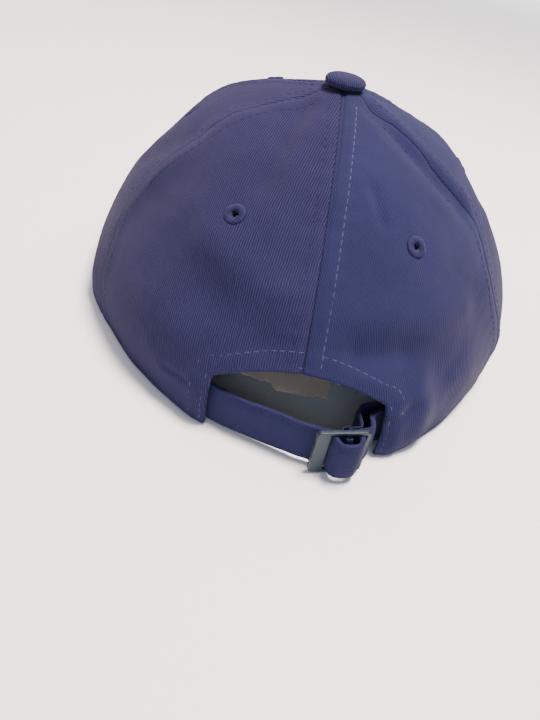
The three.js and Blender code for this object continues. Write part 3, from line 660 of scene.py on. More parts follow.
def painted_metal(name, base):
    """Die cast metal with a satin slate paint, a little uneven and scuffed."""
    material, tree, shader = new_material(name, linear(base), 0.5, 0.2)
    shader.inputs["Coat Weight"].default_value = 0.08
    shader.inputs["Coat Roughness"].default_value = 0.35
    coordinates = add_node(tree, "ShaderNodeTexCoord")
    grain = add_node(
        tree, "ShaderNodeTexNoise", inputs={"Scale": 700.0, "Detail": 4.0},
        links={"Vector": coordinates.outputs["Object"]},
    )
    rough = add_node(
        tree, "ShaderNodeMapRange",
        inputs={"From Min": 0.3, "From Max": 0.7, "To Min": 0.36, "To Max": 0.55},
        links={"Value": grain.outputs["Fac"]},
    )
    tone = add_node(
        tree, "ShaderNodeMapRange",
        inputs={"From Min": 0.3, "From Max": 0.7, "To Min": 0.9, "To Max": 1.1},
        links={"Value": grain.outputs["Fac"]},
    )
    painted = add_node(
        tree, "ShaderNodeVectorMath", {"operation": "SCALE"}, {0: linear(base)[:3]},
        {"Scale": tone.outputs[0]},
    )
    bump = add_node(
        tree, "ShaderNodeBump", inputs={"Strength": 0.35, "Distance": 0.00004},
        links={"Height": grain.outputs["Fac"]},
    )
    tree.links.new(painted.outputs[0], shader.inputs["Base Color"])
    tree.links.new(rough.outputs[0], shader.inputs["Roughness"])
    tree.links.new(bump.outputs["Normal"], shader.inputs["Normal"])
    return material


# colour, wale and weft spacing in mm, lean in degrees, depth in mm, contrast and sheen
WOVEN = {
    # washed cotton twill: dull, with clear steep wales that are worn pale on top
    "washed_twill": ("twill", TWILL_WALE_MM, WEFT_MM, -11, 0.08, 0.66, 0.03),
    # the same twill with a soft nap that hides most of the wales; its darker, bluer colour is
    # painted shade of the right panels, and the strap and tab share it
    "brushed_twill": ("brushed", TWILL_WALE_MM, WEFT_MM, -5, 0.05, 0.2, 0.05),
    # plain ribbed cotton: dark and soft, catching light at its edges
    "band_cotton": ("band", BAND_RIB_MM, WEFT_MM, 0, 0.05, 0.2, 0.2),
    # thin woven tape: pale and nearly smooth, though its colour is set darker as painted shade of
    # the cap's inside
    "label_tape": ("label", TAPE_THREAD_MM, TAPE_THREAD_MM, 0, 0.04, 0.12, 0.1),
}
# colour and sheen
SPUN = {
    # spun cotton: paler than the cloth, so the rows show as dashes
    "sewing_thread": ("thread", 0.25),
    # the same thread in the cloth's own tone, seen only in raking light
    "tonal_thread": ("tonal", 0.03),
    # thread wound close: a soft ring with fine turns
    "wound_thread": ("eyelet", 0.08),
}


def cap_material(name):
    """Each finish is made once and then shared."""
    if name in bpy.data.materials:
        return bpy.data.materials[name]
    if name in WOVEN:
        colour, *values = WOVEN[name]
        return woven(name, tone_of(colour), *values)
    if name in SPUN:
        colour, sheen = SPUN[name]
        return thread_material(name, tone_of(colour), sheen)
    return painted_metal(name, tone_of("metal"))


def tone_of(key):
    """Hex value of a colour in the sidebar."""
    colour = getattr(colours(), key)
    return "#" + "".join(f"{round(channel * 255):02x}" for channel in colour[:3])


# pieces
PANEL_COLUMNS = 60
PANEL_ROWS = 92
ARCH_COLUMNS = 24
# share of a panel's rows that lie above the corner of the arch
ARCH_ROW_PART = 13 / 17
ARCH_ROWS = round(PANEL_ROWS * ARCH_ROW_PART)
EYELET_HOLE_RADIUS = 2.5
# how deep the edge of a panel that lies under its neighbour is sunk, in mm
SUNK_EDGE = 0.95
SUNK_SIDE_EDGE = 0.35
# share at which the rows of stitches end above the rim
ROW_END = 0.985


def panel_share(row_part, turn, corner):
    """Rows run evenly to the height of the arch corner, then to the rim."""
    over = np.clip(row_part / ARCH_ROW_PART, 0, 1)
    under = np.clip((row_part - ARCH_ROW_PART) / (1 - ARCH_ROW_PART), 0, 1)
    reach = np.linalg.norm(plain_crown(turn, 0.03) - plain_crown(turn, 0.0001), axis=-1)
    top = 0.03 * TOP_HOLE_RADIUS / reach
    return np.where(row_part <= ARCH_ROW_PART, mix(top, corner, over), mix(corner, 1, under))


def arch_turns(column, row_part, start, end, arch):
    """Turns of a back panel's vertices, closer together beside the arch."""
    side = arch * ARCH_HALF_TURN * np.minimum(1, 0.55 + row_part)
    from_centre = column if arch > 0 else PANEL_COLUMNS - column
    centre, far = (start, end) if arch > 0 else (end, start)
    beyond = np.maximum(from_centre - ARCH_COLUMNS, 0) / (PANEL_COLUMNS - ARCH_COLUMNS)
    near = mix(centre, side, np.minimum(from_centre / ARCH_COLUMNS, 1))
    return np.where(from_centre <= ARCH_COLUMNS, near, mix(side, far, beyond)), from_centre


def sew_panel(node, from_seam, to_seam, eyelet_turn, arch=0):
    """One panel; arch is 1 where the arch is at its start, -1 at its end."""
    bm, column, row = grid_bmesh(PANEL_COLUMNS, PANEL_ROWS)
    lower = (row - ARCH_ROWS) / (PANEL_ROWS - ARCH_ROWS)
    row_part = np.where(
        row <= ARCH_ROWS,
        row / ARCH_ROWS * ARCH_ROW_PART,
        ARCH_ROW_PART + lower * (1 - ARCH_ROW_PART),
    )
    corner = float(share_at_height(ARCH_HALF_TURN, ARCH_SIDE_HEIGHT))
    level = panel_share(row_part, np.full(row.shape, 90.0), corner)
    from_turn, to_turn = seam_turn(from_seam, level), seam_turn(to_seam, level)
    start = from_turn - SEAM_LAP / 2 / turn_length(from_turn, level)
    end = to_turn + SEAM_LAP / 2 / turn_length(to_turn, level)
    open_faces = []
    if arch:
        turn, from_centre = arch_turns(column, row_part, start, end, arch)
        spread = np.minimum(1, np.abs(turn / ARCH_HALF_TURN))
        hem_height = mix(ARCH_TOP_HEIGHT, ARCH_SIDE_HEIGHT, spread ** 2)
        over_arch = from_centre <= ARCH_COLUMNS
        hem = np.where(over_arch, share_at_height(turn, hem_height), corner)
        share = panel_share(row_part, turn, hem)
        for face in bm.faces:
            corners = [vertex.index for vertex in face.verts]
            if np.mean(row[corners]) > ARCH_ROWS and np.mean(from_centre[corners]) < ARCH_COLUMNS:
                open_faces.append(face)
    else:
        turn = mix(start, end, column / PANEL_COLUMNS)
        share = panel_share(row_part, turn, corner)
    sunk = SUNK_SIDE_EDGE if from_seam in (SIDE_SEAM_LEFT, SIDE_SEAM_RIGHT) else SUNK_EDGE
    away = (turn - start) * turn_length(turn, share) - SEAM_LAP
    points = cloth_point(turn, share, -sunk * np.where(away < 0, 1, ridge(away, 0, 0.5)))
    near = np.linalg.norm(points - cloth_point(eyelet_turn, EYELET_SHARE, 0), axis=1)
    for face in bm.faces:
        inside = np.mean(near[[vertex.index for vertex in face.verts]]) < EYELET_HOLE_RADIUS
        if inside and face not in open_faces:
            open_faces.append(face)
    place_vertices(bm, points)
    middle_turn = (np.mean(start) + np.mean(end)) / 2
    across = (turn - middle_turn) * degree_length(share)
    cloth_uv(bm, np.stack([across, share * DOWN_LENGTH], -1) / 1000)
    bmesh.ops.delete(bm, geom=open_faces, context="FACES")
    # the right panels take the darker, bluer twill, whose colour holds painted shade
    cloth = "brushed_twill" if node.endswith("right") else "washed_twill"
    piece = finish_piece("cloth_" + node, bm, cap_material(cloth), (node,))
    thicken(piece, settings().cloth_wall, -1)
    soften(piece)


def sew_panel_stitches():
    """Topstitching beside the seams, round the arch and along the rim.

    Only the row right of the back seam and the rows of the arch are in paler thread.
    """
    pale, tonal = bmesh.new(), bmesh.new()
    share = np.linspace(0.075, ROW_END, 120)
    over_arch = share[share < float(share_at_height(0, ARCH_TOP_HEIGHT)) - 0.006]
    for number, seam in enumerate(SEAMS):
        line = share if number else over_arch
        for side in (-1, 1):
            turn = seam_turn(seam, line)
            turn = turn + side * SEAM_ROW / turn_length(turn, line)
            sew_row(pale if number == 0 and side < 0 else tonal, turn, line)
    for distance in HEM_ROWS:
        for side in (-1, 1):
            sew_row(pale, *hem_line(distance, side))
    around = np.linspace(ARCH_HALF_TURN + 1.2, 360 - ARCH_HALF_TURN - 1.2, 420)
    around = np.where(around > 180, around - 360, around)
    sew_row(tonal, around, np.full(around.shape, 1 - RIM_ROW / DOWN_LENGTH))
    finish_piece("panel_stitches", pale, cap_material("sewing_thread"), ())
    finish_piece("tonal_stitches", tonal, cap_material("tonal_thread"), ())


def hem_line(distance, side):
    """A line that keeps one distance from the edge of the arch, on one side."""
    over_turn = np.linspace(0.3, ARCH_HALF_TURN, 60)
    spread = over_turn / ARCH_HALF_TURN
    height = mix(ARCH_TOP_HEIGHT, ARCH_SIDE_HEIGHT, spread ** 2) + distance / LEAN_LENGTH
    over_share = share_at_height(over_turn, height)
    corner_turn, corner_share = [], []
    wide = float(turn_length(ARCH_HALF_TURN, 0.8))
    for angle in np.linspace(80, 10, 6):
        corner_turn.append(ARCH_HALF_TURN + distance * math.cos(math.radians(angle)) / wide)
        height = ARCH_SIDE_HEIGHT + distance * math.sin(math.radians(angle)) / LEAN_LENGTH
        corner_share.append(float(share_at_height(corner_turn[-1], height)))
    corner = float(share_at_height(ARCH_HALF_TURN, ARCH_SIDE_HEIGHT))
    down_share = np.linspace(corner, ROW_END, 24)
    down_turn = ARCH_HALF_TURN + distance / turn_length(np.full(24, ARCH_HALF_TURN), down_share)
    turn = np.concatenate([over_turn, corner_turn, down_turn])
    share = np.concatenate([over_share, corner_share, down_share])
    return side * turn, share


def frame_at(turn, share):
    """Centre and outward axes of a small round piece set in the cloth."""
    centre = Vector(cloth_point(turn, share, 0)) / 1000
    around = cloth_point(turn + 2.5, share, 0) - cloth_point(turn - 2.5, share, 0)
    down = cloth_point(turn, share + 0.026, 0) - cloth_point(turn, share - 0.026, 0)
    up = Vector(np.cross(around, down)).normalized()
    return Matrix.Translation(centre) @ up.to_track_quat("Z", "Y").to_matrix().to_4x4()


def spin_profile(bm, profile, steps, closed):
    """Turns a profile of radius and height in mm about Z."""
    verts = [bm.verts.new((radius / 1000, 0, height / 1000)) for radius, height in profile]
    edges = [bm.edges.new(pair) for pair in zip(verts, verts[1:])]
    if closed:
        edges.append(bm.edges.new((verts[-1], verts[0])))
    bmesh.ops.spin(
        bm, geom=verts + edges, cent=(0, 0, 0), axis=(0, 0, 1), dvec=(0, 0, 0),
        angle=2 * math.pi, steps=steps, use_merge=True, use_duplicate=False,
    )
    bmesh.ops.remove_doubles(bm, verts=bm.verts, dist=1e-6)
    bmesh.ops.recalc_face_normals(bm, faces=bm.faces)


def work_eyelet(place, turn):
    """An eyelet worked in wound thread, with a dark bore."""
    node = "eyelet_" + place
    bm = bmesh.new()
    rise = EYELET_BACK_RISE if place.startswith("back") else EYELET_RISE
    profile = [
        (1.2, -1.9), (1.2, rise * 0.2), (1.5, rise * 0.75), (2.1, rise), (2.7, rise),
        (3.3, rise * 0.7), (3.65, rise * 0.2), (3.5, -0.2), (2.4, -0.3), (2.4, -1.9),
    ]
    spin_profile(bm, profile, 144, True)
    for vertex in bm.verts:
        radius = math.hypot(vertex.co.x, vertex.co.y) * 1000
        angle = math.atan2(vertex.co.y, vertex.co.x)
        if vertex.co.z > 0.0001:
            wrap = math.sin(angle * EYELET_WRAPS + radius * 0.5)
            slack = noise.noise(Vector((math.cos(angle), math.sin(angle), turn)) * 1.6)
            vertex.co.z += (0.1 * wrap + 0.1 * slack) / 1000
            vertex.co.xy *= 1 + 0.02 * wrap * (radius > 3.5)
    bmesh.ops.transform(bm, matrix=frame_at(turn, EYELET_SHARE), verts=bm.verts)
    finish_piece("thread_" + node, bm, cap_material("wound_thread"), (node,))


def cover_button():
    """The button: twill drawn over a domed disc, with gathered edges underneath."""
    bm = bmesh.new()
    radius = mm(settings().button_radius)
    base = CROWN_HEIGHT + PEAK_HEIGHT + FIT_GAP
    profile = [
        (0.0, base + 4.2), (radius * 0.3, base + 4.15), (radius * 0.6, base + 3.95),
        (radius * 0.82, base + 3.5), (radius * 0.95, base + 2.8), (radius, base + 1.9),
        (radius * 0.98, base + 1.2), (radius * 0.9, base + 0.4), (radius * 0.75, base + 0.1),
        (2.8, base), (2.8, base - 1.8), (0.0, base - 1.8),
    ]
    spin_profile(bm, profile, 72, False)
    for vertex in bm.verts:
        around = math.atan2(vertex.co.y, vertex.co.x)
        height = vertex.co.z * 1000 - base
        if 0 < height < 3.2 and math.hypot(vertex.co.x, vertex.co.y) > 0.005:
            fold = math.sin(around * BUTTON_GATHERS + math.sin(around * 3))
            gather = fold * 0.12 * (1 - height / 3.2)
            vertex.co.xy *= 1 + gather / radius
        vertex.co.z += 0.15 * noise.noise(vertex.co * 260) / 1000
    bm.verts.index_update()
    cloth_uv(bm, [vertex.co.xy for vertex in bm.verts])
    shift = Vector((SHIFT[0], SHIFT[1] + BUTTON_SET_BACK, 0)) / 1000
    bmesh.ops.translate(bm, vec=shift, verts=bm.verts)
    piece = finish_piece("covered_button", bm, cap_material("washed_twill"), ("button",))
    soften(piece)


def brim_point(part, reach, lift):
    """Brim in mm: part runs across it from -1 to 1, reach from the crown to the tip."""
    turn = 180 + part * BRIM_HALF_TURN
    rim = plain_crown(turn, 1)
    rim_width = plain_crown(90, 1)[0]
    corner_y = plain_crown(180 - BRIM_HALF_TURN, 1)[1] + BRIM_CORNER_SET_BACK
    front_y = plain_crown(180, 1)[1] - BRIM_REACH
    edge_width = rim_width * math.sin(math.radians(BRIM_CORNER_ANGLE)) ** BRIM_SIDE_POWER
    inset = (HALF_WIDTH - mm(settings().cloth_wall)) / HALF_WIDTH
    angle = np.radians(part * BRIM_CORNER_ANGLE)
    outer_x = -rim_width * np.sign(part) * np.abs(np.sin(angle)) ** BRIM_SIDE_POWER
    outer_y = mix(corner_y, front_y, np.cos(angle) ** BRIM_FRONT_POWER)
    x = mix(rim[..., 0] * inset, outer_x, reach)
    y = mix(rim[..., 1] * inset, outer_y, reach)
    arch = np.maximum(0, 1 - (x / edge_width) ** 2)
    z = (BRIM_FRONT_LIFT + BRIM_FRONT_RISE * smooth(reach)) * arch + lift
    return np.stack([x, y, z], -1) + SHIFT


# the rows of the brim: reach of each, where they end, their depth in mm and wider stitches
BRIM_ROWS = (0.12, 0.24, 0.36, 0.48, 0.6, 0.72, 0.84, 0.95)
BRIM_ROW_END = 0.985
BRIM_ROW_DEPTH = 0.2
BRIM_STITCH_SPACING = 1.05


def sew_brim():
    """Brim: a curved core under cloth, with rows of topstitching on top and underneath."""
    columns, rows = 120, 60
    bm, column, row = grid_bmesh(columns, rows)
    part, reach = column / columns * 2 - 1, row / rows
    quilt = np.zeros(part.shape)
    for line in BRIM_ROWS:
        quilt = quilt - (BRIM_ROW_DEPTH + STITCH_SINK) * ridge((reach - line) * BRIM_REACH, 0, 1)
    place_vertices(bm, brim_point(part, reach, BRIM_THICKNESS) + quilt[:, None] * (0, 0, 1))
    cloth_uv(bm, np.stack([part * 0.09, reach * 0.07], -1))
    bmesh.ops.recalc_face_normals(bm, faces=bm.faces)
    if sum(face.normal.z for face in bm.faces) < 0:
        bmesh.ops.reverse_faces(bm, faces=bm.faces)
    piece = finish_piece("cloth_brim", bm, cap_material("washed_twill"), ("brim",))
    thicken(piece, BRIM_THICKNESS / 1000, -1)
    soften(piece)
    stitches = bmesh.new()
    across = np.linspace(-BRIM_ROW_END, BRIM_ROW_END, 260)
    for line in BRIM_ROWS:
        for lift, up in ((BRIM_THICKNESS - BRIM_ROW_DEPTH, 1.0), (-STITCH_SINK, -1.0)):
            points = brim_point(across, np.full(across.shape, line), lift)
            normals = np.tile((0, 0, up), (len(across), 1))
            stitch_row(stitches, points, normals, BRIM_STITCH_SPACING)
    finish_piece("brim_stitches", stitches, cap_material("tonal_thread"), ())


def sew_sweatband():
    """Sweatband: folded cotton sewn inside the rim, open behind at the strap."""
    columns, rows = 260, 22
    bm, column, row = grid_bmesh(columns, rows)
    ends = ARCH_HALF_TURN + BAND_END_MARGIN_TURN
    turn = mix(ends, 360 - ends, column / columns)
    wrapped = np.where(turn > 180, turn - 360, turn)
    top = share_at_height(wrapped, rim_height(wrapped) + BAND_HEIGHT)
    share = mix(top, 1.0, row / rows)
    lift = -mm(settings().cloth_wall) - BAND_CLEARANCE
    out = lift + fold_height(wrapped, share) + crease_height(wrapped, share, FINE_CREASES)
    roll = 0.35 * ridge(row / rows, 0, 0.06)
    points = plain_crown(wrapped, share) + plain_normal(wrapped, share) * (out - roll)[:, None]
    points[:, 2] = np.where(row == rows, rim_height(wrapped) + 0.4, points[:, 2])
    place_vertices(bm, points + SHIFT)
    cloth_uv(bm, np.stack([turn * 0.0015, row / rows * 0.03], -1))
    cloth = cap_material("band_cotton")
    piece = finish_piece("cloth_sweatband", bm, cloth, ("sweatband",))
    thicken(piece, BAND_WALL / 1000, -1)
    soften(piece)


def rim_plan(turn, out):
    """Plan point beside the rim, out from it in mm."""
    before, after = plain_crown(turn - 0.5, 1)[:2], plain_crown(turn + 0.5, 1)[:2]
    around = (after - before) / np.linalg.norm(after - before)
    return plain_crown(turn, 1)[:2] + np.array([-around[1], around[0]]) * out


BUCKLE_ORIGIN = rim_plan(BUCKLE_TURN, BUCKLE_STAND_OFF)
BUCKLE_ANGLE = math.radians(180 - BUCKLE_TURN + BUCKLE_YAW)
ALONG_BUCKLE = np.array([math.cos(BUCKLE_ANGLE), math.sin(BUCKLE_ANGLE)])
OUT_OF_BUCKLE = np.array([ALONG_BUCKLE[1], -ALONG_BUCKLE[0]])


def buckle_plan(along, out):
    """Plan point by the buckle, from its middle bar, in mm."""
    return BUCKLE_ORIGIN + ALONG_BUCKLE * along + OUT_OF_BUCKLE * out


STRAP_WALL = 1.6
# plan of the strap at the buckle: it lies under the frame and humps over the looped tab
UNDER_BUCKLE = STRAP_WALL / 2 + FIT_GAP
BAR_HALF = BUCKLE_MIDDLE_BAR_WIDTH / 2
LOOP_TOP = UNDER_BUCKLE + BUCKLE_THICKNESS + FIT_GAP + TAB_WALL * 0.64
HUMP_TOP = LOOP_TOP + FIT_GAP * 2 + STRAP_WALL / 2 + 1.4
HUMP_SIDE = BUCKLE_WINDOW_WIDTH / 2 - UNDER_BUCKLE - 0.1
STRAP_BOTTOM = BUCKLE_RAIL + FIT_GAP


def tuck_depth(turn):
    """How deep the strap lies behind the plain rim, clear of the folded tail."""
    rim = plain_crown(turn, 1)[:2]
    outward = rim_plan(turn, 1) - rim
    heights = (STRAP_BOTTOM + STRAP_HEIGHT) * np.array([0.05, 0.4, 0.7, 1])
    turns = np.full(4, float(turn))
    share = share_at_height(turns, heights)
    folds = fold_height(turns, share)[:, None]
    cloth = plain_crown(turns, share) + plain_normal(turns, share) * folds
    return -mm(settings().cloth_wall) - FIT_GAP * 2 - np.max((rim - cloth[:, :2]) @ outward)


def smooth_line(points, steps):
    """A curve through plan points, evenly stepped along its length."""
    points = np.array(points, float)
    ends = np.concatenate([[2 * points[0] - points[1]], points, [2 * points[-1] - points[-2]]])
    fine = []
    for index in range(1, len(ends) - 2):
        p0, p1, p2, p3 = ends[index - 1:index + 3]
        for t in np.linspace(0, 1, 12, endpoint=False):
            fine.append(0.5 * (
                2 * p1 + (p2 - p0) * t + (2 * p0 - 5 * p1 + 4 * p2 - p3) * t ** 2
                + (3 * p1 - p0 - 3 * p2 + p3) * t ** 3
            ))
    fine.append(points[-1])
    fine = np.array(fine)
    travel = np.concatenate([[0], np.cumsum(np.linalg.norm(np.diff(fine, axis=0), axis=1))])
    even = np.linspace(0, travel[-1], steps + 1)
    return np.stack([np.interp(even, travel, fine[:, axis]) for axis in range(2)], -1), even


def strap_line(steps):
    """The strap's way from inside the left tail, through the buckle, into the right tail."""
    tuck_left = tuck_depth(ARCH_HALF_TURN + 2) - STRAP_WALL / 2
    tuck_right = tuck_depth(-ARCH_HALF_TURN - 2) - STRAP_WALL / 2
    window, plate = BUCKLE_WINDOW_WIDTH / 2, BUCKLE_PLATE_WIDTH
    left = [
        rim_plan(ARCH_HALF_TURN + 8.6, tuck_left - 1),
        rim_plan(ARCH_HALF_TURN + 4, tuck_left - 0.4),
        rim_plan(ARCH_HALF_TURN - 0.5, tuck_left + 0.3),
        rim_plan(ARCH_HALF_TURN - 7, tuck_left + 1.3),
        rim_plan(ARCH_HALF_TURN - 14, tuck_left + 2.9),
        buckle_plan(-window - plate - 3, -3.6),
        buckle_plan(-window - plate, -2.2),
        buckle_plan(-window - plate / 2, -0.9),
        buckle_plan(-window, -0.1),
    ]
    hump = [
        (-HUMP_SIDE - 0.5, 0.1), (-HUMP_SIDE, 0.9), (-HUMP_SIDE, LOOP_TOP - 0.8),
        (-HUMP_SIDE * 0.7, HUMP_TOP - 0.7), (0, HUMP_TOP), (HUMP_SIDE * 0.7, HUMP_TOP - 0.7),
        (HUMP_SIDE, LOOP_TOP - 0.8), (HUMP_SIDE, 0.9), (HUMP_SIDE + 0.5, 0.1),
    ]
    right = [
        buckle_plan(window + BUCKLE_END_BAR_WIDTH * 0.5, 0),
        buckle_plan(window + BUCKLE_END_BAR_WIDTH + 2.2, -1),
        buckle_plan(window + BUCKLE_END_BAR_WIDTH + 3.2, -3.8),
        rim_plan(-ARCH_HALF_TURN + 1.5, tuck_right + 0.8),
        rim_plan(-ARCH_HALF_TURN - 1.5, tuck_right - 0.8),
        rim_plan(-ARCH_HALF_TURN - 6.5, tuck_right - 1.4),
    ]
    return smooth_line(left + [buckle_plan(*place) for place in hump] + right, steps)


def droop(plan):
    """How far the strap sinks toward the left tail."""
    level_to = BUCKLE_WINDOW_WIDTH / 2 + BUCKLE_PLATE_WIDTH + 2
    beyond = -(plan - BUCKLE_ORIGIN) @ ALONG_BUCKLE - level_to
    return STRAP_DROOP * smooth(np.clip(beyond / level_to / 2, 0, 1))


# where the two rows of stitches lie across a strap, and how deep in mm
EDGE_ROWS = (0.1, 0.9)
STRAP_ROW_DEPTH = 0.3


def ribbon(name, node, line, travel, bottom, height, wall, rows):
    """An upright strip of cloth along a plan line, a little domed across its width."""
    bm, column, row = grid_bmesh(len(line) - 1, rows)
    tangent = np.gradient(line, axis=0)
    outward = unit(np.stack([tangent[:, 1], -tangent[:, 0]], -1))
    up = row / rows
    relief = -0.35 * np.abs(up * 2 - 1) ** 4
    for place in EDGE_ROWS:
        relief = relief - 0.16 * ridge(up * height, place * height, 0.5)
    plan = line[column] + outward[column] * relief[:, None]
    wave = strap_wave(travel[column]) + 0.12 * np.sin(travel[column] / 3.1 + up * 3)
    level = bottom + up * height + wave - droop(plan)
    place_vertices(bm, np.stack([plan[:, 0], plan[:, 1], level], -1) + SHIFT)
    cloth_uv(bm, np.stack([up * height, travel[column]], -1) / 1000)
    # the strap and tab take the darker, bluer twill, whose colour holds painted shade
    piece = finish_piece(name, bm, cap_material("brushed_twill"), (node,))
    thicken(piece, wall / 1000, 0)
    soften(piece)
    return outward


def strap_wave(travel):
    """Slow rise and fall of a strip along its length."""
    return 0.25 * np.sin(travel / 9)


def sew_strap():
    """Strap: two plies of twill topstitched along both edges, humped over the middle bar."""
    line, travel = strap_line(150)
    outward = ribbon(
        "cloth_strap", "strap", line, travel, STRAP_BOTTOM, STRAP_HEIGHT, STRAP_WALL, 22)
    bm = bmesh.new()
    plan = line + outward * (STRAP_WALL / 2 - STRAP_ROW_DEPTH)
    normals = np.pad(outward, ((0, 0), (0, 1)))
    for place in EDGE_ROWS:
        level = STRAP_BOTTOM + STRAP_HEIGHT * place + strap_wave(travel) - droop(line)
        stitch_row(bm, np.stack([plan[:, 0], plan[:, 1], level], -1) + SHIFT, normals)
    finish_piece("strap_stitches", bm, cap_material("tonal_thread"), ())


def sew_tab():
    """Tab: a doubled strip looped round the middle bar and tucked inside the right tail."""
    inside = tuck_depth(-ARCH_HALF_TURN - 2) - FIT_GAP * 2 - STRAP_WALL - TAB_WALL / 2 - 1.6
    foot = -STRAP_WALL / 2 - FIT_GAP - 0.1
    middle = UNDER_BUCKLE + BUCKLE_THICKNESS / 2
    ply = TAB_WALL * 0.27
    half, top = BAR_HALF + FIT_GAP + ply, BUCKLE_THICKNESS / 2 + FIT_GAP + ply
    loop = [
        rim_plan(-ARCH_HALF_TURN - 6, inside - 1.6 + ply),
        rim_plan(-ARCH_HALF_TURN - 1.5, inside - 1.2 + ply),
        rim_plan(-ARCH_HALF_TURN + 3.6, inside + 0.8 + ply),
        buckle_plan(BUCKLE_WINDOW_WIDTH / 2 + 0.4, foot - TAB_WALL / 2 - 1 + ply),
        buckle_plan(BUCKLE_WINDOW_WIDTH / 2 - 1.6, foot - TAB_WALL / 2 + ply),
        buckle_plan(half + 0.4, foot - 0.1),
        buckle_plan(half, middle),
        buckle_plan(half * 0.7, middle + top),
        buckle_plan(0, middle + top + 0.1),
        buckle_plan(-half * 0.7, middle + top),
        buckle_plan(-half, middle),
        buckle_plan(-half * 0.9, foot - 0.3),
        buckle_plan(0.3, foot - TAB_WALL / 2 - ply),
        buckle_plan(BUCKLE_WINDOW_WIDTH / 2 - 1.6, foot - TAB_WALL / 2 - ply),
        buckle_plan(BUCKLE_WINDOW_WIDTH / 2 + 0.2, foot - TAB_WALL / 2 - 1 - ply),
        rim_plan(-ARCH_HALF_TURN + 3.8, inside + 0.8 - ply),
        rim_plan(-ARCH_HALF_TURN - 1.4, inside - 1.2 - ply),
        rim_plan(-ARCH_HALF_TURN - 6, inside - 1.6 - ply),
    ]
    line, travel = smooth_line(loop[::-1], 190)
    bottom, height = STRAP_BOTTOM + FIT_GAP, STRAP_HEIGHT - 2 * FIT_GAP
    ribbon("cloth_tab", "strap_tab", line, travel, bottom, height, TAB_WALL * 0.46, 16)


def cast_buckle():
    """Slide buckle: a plain wide plate, rails, end bar and middle bar with rounded edges."""
    height = STRAP_HEIGHT + 2 * (BUCKLE_RAIL + FIT_GAP)
    window = BUCKLE_WINDOW_WIDTH / 2
    across = (
        -window - BUCKLE_PLATE_WIDTH, -window, -BAR_HALF,
        BAR_HALF, window, window + BUCKLE_END_BAR_WIDTH,
    )
    up = (0, BUCKLE_RAIL, height - BUCKLE_RAIL, height)
    bm, column, row = grid_bmesh(len(across) - 1, len(up) - 1)
    for vertex, x, z in zip(bm.verts, column, row):
        vertex.co = (across[x] / 1000, up[z] / 1000, 0)
    openings = []
    for face in bm.faces:
        centre = face.calc_center_median() * 1000
        beside_bar = across[1] < centre.x < across[2] or across[3] < centre.x < across[4]
        if up[1] < centre.y < up[2] and beside_bar:
            openings.append(face)
    bmesh.ops.delete(bm, geom=openings, context="FACES")
    solid = bmesh.ops.extrude_face_region(bm, geom=bm.faces[:])
    moved = [item for item in solid["geom"] if isinstance(item, bmesh.types.BMVert)]
    bmesh.ops.translate(bm, vec=(0, 0, BUCKLE_THICKNESS / 1000), verts=moved)
    bmesh.ops.recalc_face_normals(bm, faces=bm.faces)
    corners = [
        edge for edge in bm.edges
        if abs(edge.verts[0].co.z - edge.verts[1].co.z) > 0.001 and edge.is_manifold
        and {round(edge.verts[0].co.x * 1000, 3)} <= {round(across[0], 3), round(across[-1], 3)}
        and {round(edge.verts[0].co.y * 1000, 3)} <= {round(up[0], 3), round(up[-1], 3)}
    ]
    bmesh.ops.bevel(
        bm, geom=corners, offset=BUCKLE_CORNER / 1000, offset_type="OFFSET",
        segments=5, profile=0.5, affect="EDGES", material=-1,
    )
    sharp = [edge for edge in bm.edges if edge.is_manifold and edge.calc_face_angle() > 0.9]
    bmesh.ops.bevel(
        bm, geom=sharp, offset=BUCKLE_EDGE / 1000, offset_type="OFFSET",
        segments=3, profile=0.5, affect="EDGES", material=-1,
    )
    place = Matrix((
        (ALONG_BUCKLE[0], 0, OUT_OF_BUCKLE[0], 0),
        (ALONG_BUCKLE[1], 0, OUT_OF_BUCKLE[1], 0),
        (0, 1, 0, 0),
        (0, 0, 0, 1),
    ))
    start = buckle_plan(0, UNDER_BUCKLE)
    move = Matrix.Translation(Vector((start[0] + SHIFT[0], start[1] + SHIFT[1], 0)) / 1000)
    bmesh.ops.transform(bm, matrix=move @ place, verts=bm.verts)
    bmesh.ops.recalc_face_normals(bm, faces=bm.faces)
    paint = cap_material("painted_zinc")
    piece = finish_piece("cast_buckle", bm, paint, ("buckle",))
    shade = piece.modifiers.new("edges", "WEIGHTED_NORMAL")
    shade.keep_sharp = True


def sew_label():
    """Care label: a plain strip of tape, uneven at its lower edge, hanging behind the arch, in a
    colour darkened as painted shade.
    """
    columns, rows = 46, 30
    bm, column, row = grid_bmesh(columns, rows)
    turn = mix(LABEL_TURN_RIGHT, LABEL_TURN_LEFT, column / columns)
    top = share_at_height(turn, ARCH_TOP_HEIGHT + LABEL_TUCK)
    shorter = 1.8 * smooth(np.clip((turn - 5.5) / 1.2, 0, 1))
    end = share_at_height(turn, ARCH_TOP_HEIGHT - LABEL_DROP + shorter)
    share = mix(top, end, row / rows)
    wall = mm(settings().cloth_wall)
    curl = 0.3 * np.sin(turn * 0.7) * (row / rows) ** 2
    out = -wall - FIT_GAP * 2 - 0.35 + fold_height(turn, share) - np.abs(curl)
    points = plain_crown(turn, share) + plain_normal(turn, share) * out[:, None]
    place_vertices(bm, points + SHIFT)
    cloth_uv(bm, np.stack([turn * 0.0015, share * 0.14], -1))
    # its colour holds painted shade of the cap's inside
    tape = cap_material("label_tape")
    piece = finish_piece("tape_label", bm, tape, ("care_label",))
    thicken(piece, LABEL_WALL / 1000, -1)
    soften(piece)


# stage: sizes of the floor and its sweep in metres, the camera's place in mm
FLOOR_HALF = 3
FLOOR_DROP = 0.0005
SWEEP_HEIGHT = 3
SWEEP_RADIUS = 1.2
CAP_MIDDLE = (0, 0.05, 0.04)
